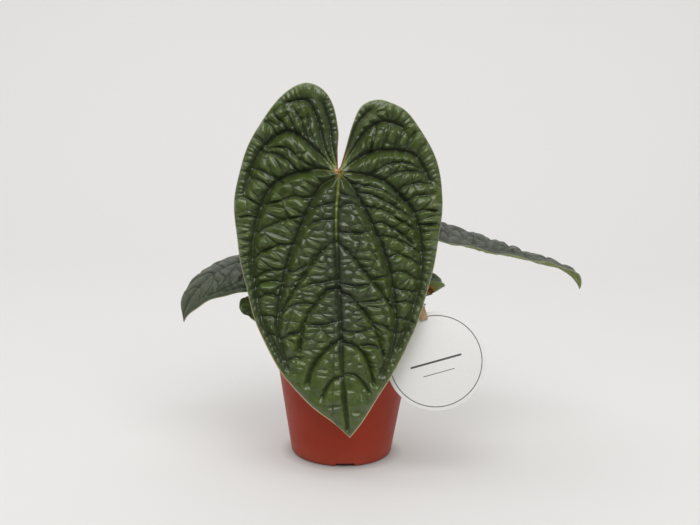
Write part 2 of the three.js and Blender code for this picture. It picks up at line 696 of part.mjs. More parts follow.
/** Everything in front of the peg's back face, which the stick's end is cut flat to meet. */
function roomOfPeg() {
  const shape = new THREE.Shape([[-10, -40], [-10, 0], [60, 0], [60, -40]].map(([z, y]) => (
    new THREE.Vector2(y < 0 ? y : armFace(z) + GAP, z))));
  const room = new THREE.ExtrudeGeometry(shape, { depth: 60, bevelEnabled: false, steps: 1 });
  room.translate(0, 0, -30);
  room.applyMatrix4(new THREE.Matrix4().set(0, 0, 1, 0, 1, 0, 0, 0, 0, 1, 0, jawTips, 0, 0, 0, 1));
  return solidOf(room.applyMatrix4(label.matrixWorld));
}

// ---------------------------------------------------------------- assembly

const green = finish(0x33501f, 0.35);
const stemGreen = finish(0x5d7335, 0.5);
const bark = finish(0x8a6a45, 0.8);
const terracotta = finish(0x8a3226, 0.5);
const peat = finish(0x2e2219, 0.95);
const paper = finish(0xf1efeb, 0.8);
const wood = finish(0xc9a677, 0.7);
const steel = new THREE.MeshStandardMaterial({ color: 0xa8a8a8, roughness: 0.35, metalness: 1 });

const flats = LEAVES.map(layOut);
const lines = LEAVES.map((leaf, i) => petioleLine(leaf, flats[i]));
const crown = crownGeometry(lines);
const crownRoom = solidOf(turned([[0, CROWN_FOOT - GAP], [CROWN_RADIUS + GAP, CROWN_FOOT - GAP],
  [CROWN_RADIUS + GAP, CROWN_TOP], [0, CROWN_TOP]], 24));

add('pot', potGeometry(), terracotta);
add('soil', soilGeometry(crownRoom, stickSolid(GAP)), peat);
add('crown', geometryOf(crown), stemGreen);
SHEATHS.forEach((sheath, i) => add(`sheath_${i + 1}`, sheathGeometry(sheath), bark));
LEAVES.forEach((leaf, i) => {
  add(`${leaf.name}_blade`, bladeGeometry(leaf, flats[i]), green);
  const stations = Math.round(new THREE.CatmullRomCurve3(lines[i].through).getLength() / 6);
  const petiole = solidOf(sweep(lines[i].through, petioleRadius(leaf), stations, 10));
  const seat = solidOf(bladeGeometry(leaf, flats[i], GAP));
  add(`${leaf.name}_petiole`, geometryOf(petiole.subtract(seat)), stemGreen);
});

const card = new THREE.CylinderGeometry(CARD_RADIUS, CARD_RADIUS, CARD_THICKNESS, 64);
add('label_card', card, paper, label);
add('peg_arm_back', armGeometry(), wood, label);
add('peg_arm_front', armGeometry().rotateZ(Math.PI), wood, label);
add('peg_spring', springGeometry(), steel, label);
add('label_stick', geometryOf(stickSolid(0).subtract(roomOfPeg())), wood);

// The plant is drawn about the pot's axis and then moved to its origin, the middle of its footprint.
const extent = new THREE.Box3().setFromObject(anthurium, true);
const middle = extent.getCenter(new THREE.Vector3());
anthurium.position.set(-middle.x, -middle.y, -extent.min.z);

export default anthurium;
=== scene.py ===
# A potted anthurium with heavily quilted, heart-shaped leaves, in a brick-red nursery pot,
# with a round plant label held by a wooden peg on a stick. Metres, +Z up.

import math

import bpy
import numpy as np
from mathutils import Matrix, Vector
from mathutils.geometry import delaunay_2d_cdt
from mathutils.kdtree import KDTree


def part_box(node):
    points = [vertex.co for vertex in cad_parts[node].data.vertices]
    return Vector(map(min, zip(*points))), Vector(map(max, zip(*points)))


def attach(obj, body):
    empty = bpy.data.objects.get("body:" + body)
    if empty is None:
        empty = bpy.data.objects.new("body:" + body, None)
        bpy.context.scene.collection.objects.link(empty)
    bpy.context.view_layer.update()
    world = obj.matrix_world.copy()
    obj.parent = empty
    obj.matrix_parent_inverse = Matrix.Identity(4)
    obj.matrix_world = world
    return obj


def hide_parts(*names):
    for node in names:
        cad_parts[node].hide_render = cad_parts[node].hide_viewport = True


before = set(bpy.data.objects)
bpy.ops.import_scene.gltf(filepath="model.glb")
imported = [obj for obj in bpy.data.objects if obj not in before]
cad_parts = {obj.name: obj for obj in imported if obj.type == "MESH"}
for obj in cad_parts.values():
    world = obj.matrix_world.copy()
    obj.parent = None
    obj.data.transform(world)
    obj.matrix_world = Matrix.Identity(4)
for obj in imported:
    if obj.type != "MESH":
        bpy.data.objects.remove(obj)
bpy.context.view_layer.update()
MM = 0.001
GAP = 0.3 * MM  # clearance between pieces that touch


# ---------------------------------------------------------------- nursery pot
# Thin injection-moulded pot, satin brick red. It has a rolled lip band, a rounded foot on a
# ring with three drain slots, and six holes in its floor.

POT_TOP_RADIUS = 60 * MM
POT_FOOT_RADIUS = 42.8 * MM
POT_HEIGHT = 105 * MM
POT_WALL = 1.6 * MM
LIP_HEIGHT = 9 * MM
LIP_PROUD = 1.6 * MM
FLOOR_UNDERSIDE = 3.2 * MM
FOOT_RING = 4 * MM
FOOT_ROUND = 4 * MM
SLOT_WIDTH = 15.5 * MM
SLOT_HEIGHT = 3.4 * MM
SLOT_COUNT = 3
FIRST_SLOT = -85  # degrees
HOLE_RADIUS = 4 * MM
HOLE_RING = 0.55  # share of the foot's radius at which the floor's holes lie
HOLE_COUNT = 6
POT_SIDES = 144

pot_low, pot_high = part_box("pot")
middle = Vector(((pot_low.x + pot_high.x) / 2, (pot_low.y + pot_high.y) / 2, 0))


def pot_radius(z):
    """Outer radius of the pot's wall below the lip."""
    rise = z / (POT_HEIGHT - LIP_HEIGHT)
    return POT_FOOT_RADIUS + (POT_TOP_RADIUS - LIP_PROUD - POT_FOOT_RADIUS) * rise


def towards(turn):
    """The level direction that many radians round from +X."""
    return Vector((math.cos(turn), math.sin(turn), 0))


def finished(name, nodes, material):
    """Names the new piece, lays its place into its mesh, colours it and ties it to the plant."""
    piece = bpy.context.object
    bpy.ops.object.mode_set(mode="OBJECT")
    bpy.ops.object.transform_apply(location=True, rotation=True, scale=True)
    piece.name = name
    piece.data.name = name
    piece.data.materials.clear()
    piece.data.materials.append(material)
    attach(piece, "root")
    if nodes:
        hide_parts(*nodes)
    bpy.ops.object.select_all(action="DESELECT")
    return piece


def face_outwards():
    """Turns all faces of the piece that is being edited outwards."""
    bpy.ops.mesh.select_all(action="SELECT")
    bpy.ops.mesh.normals_make_consistent(inside=False)


def turned(rings, sides, centre):
    """A round piece raised ring by ring, each ring a (radius, height), from a filled circle."""
    bpy.ops.object.select_all(action="DESELECT")
    radius, height = rings[0]
    bpy.ops.mesh.primitive_circle_add(
        vertices=sides, radius=radius, fill_type="NGON", location=(centre.x, centre.y, height))
    bpy.ops.object.mode_set(mode="EDIT")
    for next_radius, next_height in rings[1:]:
        bpy.ops.mesh.extrude_region_move(
            TRANSFORM_OT_translate={"value": (0, 0, next_height - height)})
        grow = next_radius / radius
        bpy.ops.transform.resize(
            value=(grow, grow, 1), center_override=(centre.x, centre.y, next_height))
        radius, height = next_radius, next_height
    face_outwards()
    bpy.ops.object.mode_set(mode="OBJECT")
    return bpy.context.object


def pick(piece):
    """Makes the piece the only one selected."""
    bpy.ops.object.select_all(action="DESELECT")
    bpy.context.view_layer.objects.active = piece
    piece.select_set(True)


def apply_modifier(piece, kind, **settings):
    pick(piece)
    modifier = piece.modifiers.new(kind.title(), kind)
    for key, value in settings.items():
        setattr(modifier, key, value)
    bpy.ops.object.modifier_apply(modifier=modifier.name)


def cut_away(piece, cutters):
    """Cuts the cutters out of the piece and removes them."""
    for cutter in cutters:
        apply_modifier(piece, "BOOLEAN", object=cutter, operation="DIFFERENCE", solver="EXACT")
        bpy.data.objects.remove(cutter)


def smooth_shade(piece, degrees):
    pick(piece)
    bpy.ops.object.shade_smooth_by_angle(angle=math.radians(degrees))


class Nodes:
    """Writes down the nodes of one tree in few words."""

    def node(self, kind, settings=None, **inputs):
        made = self.nodes.new("ShaderNode" + kind)
        for key, value in (settings or {}).items():
            setattr(made, key, value)
        for socket, value in inputs.items():
            self.plug(value, made.inputs[socket.replace("_", " ")])
        return made

    def plug(self, value, socket):
        if isinstance(value, bpy.types.NodeSocket):
            self.links.new(value, socket)
        else:
            socket.default_value = value

    def use(self, effect, **inputs):
        """The result of an effect that several materials share."""
        return self.node("Group", {"node_tree": effect.tree}, **inputs).outputs[0]

    def between(self, value, low, high, to_low=0.0, to_high=1.0):
        made = self.node("MapRange", {"clamp": True}, Value=value)
        made.inputs["From Min"].default_value = low
        made.inputs["From Max"].default_value = high
        made.inputs["To Min"].default_value = to_low
        made.inputs["To Max"].default_value = to_high
        return made.outputs["Result"]

    def math(self, operation, a, b):
        made = self.node("Math", {"operation": operation})
        self.plug(a, made.inputs[0])
        self.plug(b, made.inputs[1])
        return made.outputs[0]

    def times(self, a, b):
        return self.math("MULTIPLY", a, b)

    def blend(self, factor, a, b):
        made = self.node("Mix", {"data_type": "RGBA"})
        self.plug(factor, made.inputs["Factor"])
        for value, socket in ((a, made.inputs[6]), (b, made.inputs[7])):
            self.plug((*value, 1) if isinstance(value, tuple) else value, socket)
        return made.outputs[2]

    def tint(self, value, low, high, colour, other, low_share=0.0, high_share=1.0):
        """The colour mixed with these shares of the other where the value is low and high."""
        return self.blend(self.between(value, low, high, low_share, high_share), colour, other)

    def height_up(self, vector):
        return self.node("SeparateXYZ", Vector=vector).outputs["Z"]


class Effect(Nodes):
    """A node group with the named inputs and one output."""

    def __init__(self, name, inputs, output):
        self.tree = bpy.data.node_groups.new(name, "ShaderNodeTree")
        self.nodes, self.links = self.tree.nodes, self.tree.links
        for socket, kind in inputs.items():
            self.add_socket(socket, "INPUT", kind)
        self.add_socket("Result", "OUTPUT", output)
        self.given = self.nodes.new("NodeGroupInput").outputs

    def add_socket(self, name, in_out, kind):
        self.tree.interface.new_socket(name=name, in_out=in_out, socket_type="NodeSocket" + kind)

    def give(self, value):
        self.links.new(value, self.nodes.new("NodeGroupOutput").inputs[0])


# Clouds from 0 to 1 whose features are about Size metres across.
clouds_effect = Effect("clouds", {
    "Vector": "Vector", "Size": "Float", "Detail": "Float", "Roughness": "Float",
    "Distortion": "Float"}, "Float")
given = clouds_effect.given
clouds_effect.give(clouds_effect.node(
    "TexNoise", Vector=given["Vector"], Scale=clouds_effect.math("DIVIDE", 1.0, given["Size"]),
    Detail=given["Detail"], Roughness=given["Roughness"], Distortion=given["Distortion"]).outputs["Fac"])

# The same drawn out Stretch times along the z axis of a frame turned by Turn: grain and fibres.
fibre_effect = Effect("fibres", {
    "Vector": "Vector", "Turn": "Vector", "Stretch": "Float", "Size": "Float", "Detail": "Float"}, "Float")
given = fibre_effect.given
drawn_out = fibre_effect.node(
    "Mapping", {"vector_type": "TEXTURE"}, Vector=given["Vector"], Rotation=given["Turn"],
    Scale=fibre_effect.node("CombineXYZ", X=1.0, Y=1.0, Z=given["Stretch"]).outputs[0]).outputs[0]
fibre_effect.give(fibre_effect.use(
    clouds_effect, Vector=drawn_out, Size=given["Size"], Detail=given["Detail"], Roughness=0.62,
    Distortion=0.2))

# Wet peat that has crept up on whatever stands in the soil, up to about Level.
stain_effect = Effect("soil_stain", {"Color": "Color", "Vector": "Vector", "Level": "Float"}, "Color")
given = stain_effect.given
ragged = stain_effect.use(
    clouds_effect, Vector=given["Vector"], Size=3 * MM, Detail=5.0, Roughness=0.6, Distortion=0.0)
rise = stain_effect.math("SUBTRACT", stain_effect.height_up(given["Vector"]), given["Level"])
rise = stain_effect.math("ADD", rise, stain_effect.between(ragged, 0.2, 0.8, -5 * MM, 5 * MM))
stain_effect.give(stain_effect.tint(
    rise, -3 * MM, 4 * MM, given["Color"], (0.028, 0.018, 0.012), 0.85, 0.0))


class Paint(Nodes):
    """A material with a Principled surface."""

    def __init__(self, name, **surface):
        self.material = bpy.data.materials.new(name)
        self.material.use_nodes = True
        self.nodes = self.material.node_tree.nodes
        self.links = self.material.node_tree.links
        self.surface = self.nodes["Principled BSDF"]
        for socket, value in surface.items():
            self.surface.inputs[socket.replace("_", " ")].default_value = value
        self.where = self.node("TexCoord").outputs["Object"]

    def height(self):
        return self.height_up(self.where)

    def noise(self, size, detail=3, roughness=0.5, distortion=0.0):
        return self.use(clouds_effect, Vector=self.where, Size=size, Detail=detail,
                        Roughness=roughness, Distortion=distortion)

    def fibres(self, size, stretch, turn=(0, 0, 0), detail=4):
        return self.use(fibre_effect, Vector=self.where, Turn=turn, Stretch=stretch, Size=size,
                        Detail=detail)

    def attribute(self, name):
        return self.node("Attribute", {"attribute_name": name}).outputs["Fac"]

    def colour(self, value):
        self.plug(value, self.surface.inputs["Base Color"])

    def stained_colour(self, value, level):
        self.colour(self.use(stain_effect, Color=value, Vector=self.where, Level=level))

    def roughness(self, value):
        self.plug(value, self.surface.inputs["Roughness"])

    def bump(self, height, depth, strength=1.0, under=None):
        made = self.node("Bump", Strength=strength, Distance=depth, Height=height)
        if under is not None:
            self.plug(under, made.inputs["Normal"])
        self.plug(made.outputs["Normal"], self.surface.inputs["Normal"])
        return made.outputs["Normal"]


# Brick-red polypropylene: faint flow clouds, fine spark-eroded grain and dust towards the foot.
pot_paint = Paint("pot_plastic", Roughness=0.42, IOR=1.49, Specular_IOR_Level=0.18)
clouds = pot_paint.noise(30 * MM, 4)
red = pot_paint.tint(clouds, 0.3, 0.7, (0.33, 0.034, 0.014), (0.385, 0.043, 0.018))
near_foot = pot_paint.between(pot_paint.height(), 0.0, 20 * MM, 0.25, 0.0)
dust = pot_paint.times(near_foot, clouds)
pot_paint.colour(pot_paint.blend(dust, red, (0.42, 0.22, 0.16)))
pot_paint.roughness(pot_paint.between(pot_paint.noise(6 * MM), 0.3, 0.7, 0.38, 0.5))
pot_paint.bump(pot_paint.noise(0.5 * MM, 2), 0.02 * MM, 0.6)

lip_foot = POT_HEIGHT - LIP_HEIGHT
floor_top = FLOOR_UNDERSIDE + POT_WALL
ring_outer = pot_radius(0) - FOOT_ROUND
foot_curve = [
    (pot_radius(FOOT_ROUND) - FOOT_ROUND * (1 - math.sin(math.radians(turn))),
     FOOT_ROUND * (1 - math.cos(math.radians(turn))))
    for turn in (12, 24, 36, 48, 60, 75)]
pot = turned([
    (ring_outer - FOOT_RING, FLOOR_UNDERSIDE),
    (ring_outer - FOOT_RING, 0),
    (ring_outer, 0),
    *foot_curve,
    (pot_radius(FOOT_ROUND), FOOT_ROUND),
    (pot_radius(lip_foot * 0.35), lip_foot * 0.35),
    (pot_radius(lip_foot * 0.7), lip_foot * 0.7),
    (pot_radius(lip_foot), lip_foot),
    (POT_TOP_RADIUS - 0.3 * MM, lip_foot + 0.6 * MM),
    (POT_TOP_RADIUS, POT_HEIGHT - 1 * MM),
    (POT_TOP_RADIUS - 0.4 * MM, POT_HEIGHT - 0.3 * MM),
    (POT_TOP_RADIUS - 1 * MM, POT_HEIGHT),
    (POT_TOP_RADIUS - LIP_PROUD - POT_WALL + 0.5 * MM, POT_HEIGHT),
    (POT_TOP_RADIUS - LIP_PROUD - POT_WALL, POT_HEIGHT - 0.5 * MM),
    (pot_radius(lip_foot) - POT_WALL, lip_foot),
    (pot_radius(floor_top) - POT_WALL - 1 * MM, floor_top),
], POT_SIDES, middle)

cutters = []
for k in range(SLOT_COUNT):
    turn = math.tau * k / SLOT_COUNT + math.radians(FIRST_SLOT)
    bpy.ops.mesh.primitive_cube_add(
        size=1, location=middle + ring_outer * towards(turn),
        rotation=(0, 0, turn), scale=(2 * (FOOT_RING + FOOT_ROUND), SLOT_WIDTH, 2 * SLOT_HEIGHT))
    cutters.append(bpy.context.object)
for k in range(HOLE_COUNT):
    turn = math.tau * k / HOLE_COUNT
    bpy.ops.mesh.primitive_cylinder_add(
        vertices=32, radius=HOLE_RADIUS, depth=20 * MM,
        location=middle + HOLE_RING * POT_FOOT_RADIUS * towards(turn))
    cutters.append(bpy.context.object)
cut_away(pot, cutters)
smooth_shade(pot, 32)
finished("nursery_pot", ["pot"], pot_paint.material)


# ---------------------------------------------------------------- potting soil
# Coarse aroid mix: dark peat with bark chips and a few white grains of perlite. The peat is
# one lumpy plug in the pot, and the chips lie on it.

SOIL_LEVEL = 93 * MM
SOIL_LUMP = 2.2 * MM
CRUMB_SHARE = 0.4  # of the lumps

random_draw = np.random.default_rng(7)


def lump(x, y):
    """Unevenness of the soil, from about -1 to 1, at a place in millimetres from the middle."""
    return 0.6 * np.sin(0.31 * x + 1.3) * np.cos(0.27 * y) + 0.4 * np.sin(0.63 * y + 0.4 * x)


soil_paint = Paint("potting_soil", Roughness=0.95)
crumbs = soil_paint.node("TexVoronoi", Vector=soil_paint.where, Scale=1 / (2.4 * MM)).outputs["Distance"]
fibres = soil_paint.noise(1.2 * MM, 6, 0.7)
soil_paint.colour(soil_paint.tint(fibres, 0.35, 0.7, (0.012, 0.008, 0.006), (0.055, 0.034, 0.02)))
grit = soil_paint.bump(crumbs, 1.2 * MM, 0.9)
soil_paint.bump(fibres, 0.8 * MM, 0.8, grit)

soil_wall = pot_radius(SOIL_LEVEL) - POT_WALL - GAP
soil_foot = floor_top + GAP
soil_foot_radius = pot_radius(soil_foot) - POT_WALL - 1.6 * MM
soil_rings = [(part * soil_wall, SOIL_LEVEL) for part in np.linspace(0.99, 0.03, 34)]
soil = turned(
    [(soil_foot_radius, soil_foot), (soil_wall, SOIL_LEVEL - 1 * MM), *soil_rings],
    POT_SIDES, middle)
for vertex in soil.data.vertices:
    if vertex.co.z > 10 * MM:
        x, y = vertex.co.x / MM, vertex.co.y / MM
        crumb = 0.35 * math.sin(1.9 * x + 0.7 * y) * math.sin(2.3 * y - 0.4 * x)
        vertex.co.z += SOIL_LUMP * (float(lump(x, y)) + CRUMB_SHARE * crumb)
smooth_shade(soil, 60)
finished("soil_plug", ["soil"], soil_paint.material)

chip_paint = Paint("bark_chips", Roughness=0.85)
tint = chip_paint.attribute("tint")
bark = chip_paint.blend(tint, (0.045, 0.022, 0.012), (0.22, 0.12, 0.06))
streaks = chip_paint.noise(0.9 * MM, 5, 0.65)
bark = chip_paint.tint(streaks, 0.4, 0.7, bark, (0.02, 0.012, 0.008))
white = chip_paint.attribute("white")
chip_paint.colour(chip_paint.blend(white, bark, (0.72, 0.7, 0.66)))
chip_paint.bump(streaks, 0.5 * MM, 0.8)

CHIP_COUNT = 420
PERLITE_SHARE = 0.12
bpy.ops.mesh.primitive_ico_sphere_add(subdivisions=2, radius=1)
pattern = bpy.context.object
chip_corners = np.array([v.co for v in pattern.data.vertices])
chip_faces = np.array([p.vertices for p in pattern.data.polygons])
bpy.data.objects.remove(pattern)
corners, faces, tints, whites = [], [], [], []
for k in range(CHIP_COUNT):
    spread = math.sqrt(random_draw.uniform(0.07, 0.93)) * (soil_wall - 1 * MM)
    turn = random_draw.uniform(0, math.tau)
    spot = np.array([spread * math.cos(turn), spread * math.sin(turn)])
    is_white = random_draw.random() < PERLITE_SHARE
    long = random_draw.uniform(1.2, 2.2) if is_white else random_draw.uniform(1.6, 4.6)
    flat = random_draw.uniform(0.7, 0.9) if is_white else random_draw.uniform(0.25, 0.5)
    dents = 1 + random_draw.uniform(-0.22, 0.22, len(chip_corners))
    size = np.array([long, long * random_draw.uniform(0.45, 0.8), long * flat]) * MM
    shape = chip_corners * dents[:, None] * size
    pose = Matrix.Rotation(turn * 5, 3, "Z") @ Matrix.Rotation(random_draw.normal(0, 0.35), 3, "X")
    shape = shape @ np.array(pose).T
    level = SOIL_LEVEL + SOIL_LUMP * lump(*(spot / MM)) + 0.3 * MM
    shape += np.array([middle.x + spot[0], middle.y + spot[1], level])
    faces.append(chip_faces + len(chip_corners) * k)
    corners.append(shape)
    tints += [random_draw.random()] * len(chip_corners)
    whites += [float(is_white)] * len(chip_corners)


def mesh_object(name, points, polygons):
    """A new selected object from points and polygons."""
    data = bpy.data.meshes.new(name)
    data.from_pydata(np.asarray(points).tolist(), [], np.asarray(polygons).tolist())
    data.update()
    made = bpy.data.objects.new(name, data)
    bpy.context.scene.collection.objects.link(made)
    pick(made)
    return made


def paint_points(piece, name, values):
    """Stores one number for each point of the piece, for its material to read."""
    layer = piece.data.attributes.new(name, "FLOAT", "POINT")
    layer.data.foreach_set("value", np.asarray(values, np.float32))


chips = mesh_object("bark_chips", np.concatenate(corners), np.concatenate(faces))
paint_points(chips, "tint", tints)
paint_points(chips, "white", whites)
smooth_shade(chips, 40)
finished("bark_and_perlite", [], chip_paint.material)


# ---------------------------------------------------------------- crown
# The short stem that all the stalks grow from: fleshy and green at the top, corky below, with
# a few stubs of thick aerial roots that run into the soil.

CROWN_RADIUS = 13 * MM
CROWN_PROFILE = [  # share of the radius, height in millimetres
    (0.6, 72), (0.85, 78), (1, 93), (0.97, 95.5), (0.94, 98), (0.98, 99.5), (1, 101), (0.96, 102.5),
    (0.97, 104), (0.93, 105.5), (0.82, 107), (0.62, 108.2), (0.35, 108.8), (0.1, 109)]
CROWN_WAVE = 0.03
ROOTS = [(150, 5, 34), (-60, -2, 22), (70, 3, 30), (-160, 2, 26), (10, 0, 28)]  # direction, rise, reach

crown_paint = Paint("crown", Roughness=0.7)
cork = crown_paint.noise(2.5 * MM, 6, 0.7)
level = crown_paint.math("ADD", crown_paint.height(), crown_paint.times(cork, 8 * MM))
skin = crown_paint.tint(level, 100 * MM, 112 * MM, (0.11, 0.062, 0.028), (0.11, 0.15, 0.045))
skin = crown_paint.tint(cork, 0.55, 0.75, skin, (0.05, 0.03, 0.015))
crown_paint.stained_colour(skin, 97 * MM)
crown_paint.bump(cork, 0.8 * MM, 0.8)

crown = turned(
    [(share * CROWN_RADIUS, height * MM) for share, height in CROWN_PROFILE], 48, middle)
for vertex in crown.data.vertices:
    wave = math.sin(5 * math.atan2(vertex.co.y, vertex.co.x) + 260 * vertex.co.z)
    vertex.co.x *= 1 + CROWN_WAVE * wave
    vertex.co.y *= 1 + CROWN_WAVE * wave
apply_modifier(crown, "SUBSURF", levels=1, render_levels=1)
smooth_shade(crown, 60)
finished("crown_stem", ["crown"], crown_paint.material)


def tube(name, points, radii, sides=4):
    """A round stalk through the points, with a radius at each, as a mesh."""
    line = bpy.data.curves.new(name, "CURVE")
    line.dimensions = "3D"
    line.bevel_depth = 1
    line.bevel_resolution = sides
    line.resolution_u = 14
    line.use_fill_caps = True
    spline = line.splines.new("BEZIER")
    spline.bezier_points.add(len(points) - 1)
    for knot, spot, radius in zip(spline.bezier_points, points, radii):
        knot.co = spot
        knot.radius = radius
        knot.handle_left_type = knot.handle_right_type = "AUTO"
    made = bpy.data.objects.new(name, line)
    bpy.context.scene.collection.objects.link(made)
    pick(made)
    bpy.ops.object.convert(target="MESH")
    return bpy.context.object


root_paint = Paint("aerial_roots", Roughness=0.75)
skin = root_paint.blend(root_paint.noise(3 * MM, 5, 0.7), (0.12, 0.08, 0.045), (0.3, 0.22, 0.13))
root_paint.stained_colour(skin, 95 * MM)
root_paint.bump(root_paint.noise(1 * MM, 4), 0.3 * MM, 0.7)
roots = []
for direction, rise, reach in ROOTS:
    out = towards(math.radians(direction))
    aside = Vector((-out.y, out.x, 0))
    up = Vector((0, 0, 1))
    line = [
        middle + out * 10 * MM + up * (99 + rise * 0.5) * MM,
        middle + out * 16 * MM + up * (99 + rise) * MM,
        middle + out * (reach * 0.8) * MM + aside * 3 * MM + up * 96.5 * MM,
        middle + out * reach * MM + aside * 5 * MM + up * 91 * MM]
    roots.append(tube("root", line, [1.7 * MM, 1.6 * MM, 1.5 * MM, 1.2 * MM]))
for root in roots:
    root.select_set(True)
bpy.ops.object.join()
smooth_shade(bpy.context.object, 60)
finished("aerial_roots", [], root_paint.material)


# ---------------------------------------------------------------- dry bracts
# Papery brown husks that once wrapped each new leaf. They stand against the crown, split and
# frayed at their tips.

SHEATHS = [(62, 34, 0), (112, 24, 1.4), (-122, 20, 0)]  # direction, height, layers further out
SHEATH_FOOT = 97 * MM
SHEATH_RADIUS = 13.9
SHEATH_LEAN = 9
SHEATH_HALF_TURN = 42  # degrees, at the foot
SHEATH_THICKNESS = 0.45 * MM

sheath_paint = Paint("dry_sheath", Roughness=0.8)
fibre = sheath_paint.fibres(0.9 * MM, 8, detail=5)
blotch = sheath_paint.noise(7 * MM, 3)
husk = sheath_paint.tint(blotch, 0.35, 0.7, (0.2, 0.11, 0.05), (0.09, 0.045, 0.02))
husk = sheath_paint.tint(fibre, 0.4, 0.7, husk, (0.34, 0.22, 0.12))
sheath_paint.stained_colour(husk, 98 * MM)
sheath_paint.bump(fibre, 0.35 * MM, 0.9)

for k, (direction, height, layer) in enumerate(SHEATHS):
    bpy.ops.object.select_all(action="DESELECT")
    bpy.ops.mesh.primitive_grid_add(x_subdivisions=28, y_subdivisions=30, size=2)
    husk = bpy.context.object
    for vertex in husk.data.vertices:
        across, t = vertex.co.x, (vertex.co.y + 1) / 2
        crinkle = 0.5 * math.sin(9 * across + 5 * t + k) * t
        fray = 1 - 0.1 * abs(math.sin(14 * across + 2 * k)) * t ** 6
        radius = (SHEATH_RADIUS + layer + SHEATH_LEAN * t * t + crinkle) * MM
        spread = SHEATH_HALF_TURN * (1 - t ** 2.5) + 1.5
        turn = math.radians(direction + spread * across)
        level = SHEATH_FOOT + height * MM * t * fray
        vertex.co = middle + radius * towards(turn) + Vector((0, 0, level))
    apply_modifier(husk, "SOLIDIFY", thickness=SHEATH_THICKNESS, offset=1)
    smooth_shade(husk, 60)
    finished(f"dry_bract_{k + 1}", [f"sheath_{k + 1}"], sheath_paint.material)


# ---------------------------------------------------------------- leaf blades
# Five leathery heart-shaped blades, dark green and glossy above and pale below. The main veins
# spread from the notch and lie in deep folds; cross veins part the blade into panels, and these
# swell up in blisters. Each blade is drawn flat, u across and v from the notch to the tip, in
# millimetres of the largest leaf, then given its relief and bent into place.

LEAF_LENGTH = 208
LEAF_HALF_WIDTH = 82
BLADE_THICKNESS = 0.55
LINE_STEP = 0.5  # between the spots of a vein or a margin

TIP = (5, 211)
MARGINS = {
    -1: [(0, -2), (0, -17), (1, -32), (-3, -52), (-12, -65), (-26, -69), (-43, -59), (-62, -36),
         (-75, -10), (-82, 18), (-81, 50), (-73, 94), (-63, 126), (-48, 155), (-29, 179), (-10, 196), TIP],
    1: [(2, -4), (6, -17), (12, -36), (19, -50), (30, -55), (41, -53), (56, -44), (71, -22),
        (80, 0), (82, 20), (80, 46), (74, 75), (65, 106), (50, 141), (32, 171), (16, 196), TIP],
}
MIDRIB = [(1, 2), (-2, 33), (-2, 70), (-1, 100), (0, 135), (1, 166), (4, 203)]

# Main veins of each half, from the one next to the midrib outwards to the one along the notch.
MAIN_VEINS = {
    -1: [
        [(0, 3), (-15, 13), (-28, 39), (-41, 72), (-49, 108), (-49, 127), (-43, 152)],
        [(-2, 0), (-18, -2), (-41, 3), (-54, 13), (-64, 34), (-69, 62), (-67, 90), (-62, 114), (-46, 147)],
        [(-2, -1), (-20, -20), (-37, -32), (-54, -24), (-66, -8), (-74, 14)],
        [(-1, -2), (-9, -15), (-15, -39), (-23, -55), (-38, -54)],
        [(-1, -3), (-4, -18), (-6, -36), (-11, -53)],
    ],
    1: [
        [(3, 3), (13, 16), (28, 47), (38, 75), (43, 112), (40, 137), (31, 158)],
        [(3, 1), (15, 2), (32, 6), (44, 15), (59, 33), (64, 56), (64, 78), (58, 105), (44, 138)],
        [(4, -1), (12, -7), (24, -14), (36, -16), (50, -15), (62, -10), (72, 8)],
        [(3, -2), (11, -15), (23, -31), (36, -38), (50, -34)],
        [(3, -3), (9, -19), (16, -36), (25, -46)],
    ],
}

# For each strip between two neighbouring veins, counted from the midrib: the shares of the inner
# and of the outer vein that face each other, each from start to end.
STRIPS = [
    ((0.04, 0.8), (0.06, 1.0)), ((0.03, 1.0), (0.06, 1.0)), ((0.05, 0.38), (0.12, 1.0)),
    ((0.1, 0.62), (0.12, 1.0)), ((0.15, 1.0), (0.15, 1.0))]

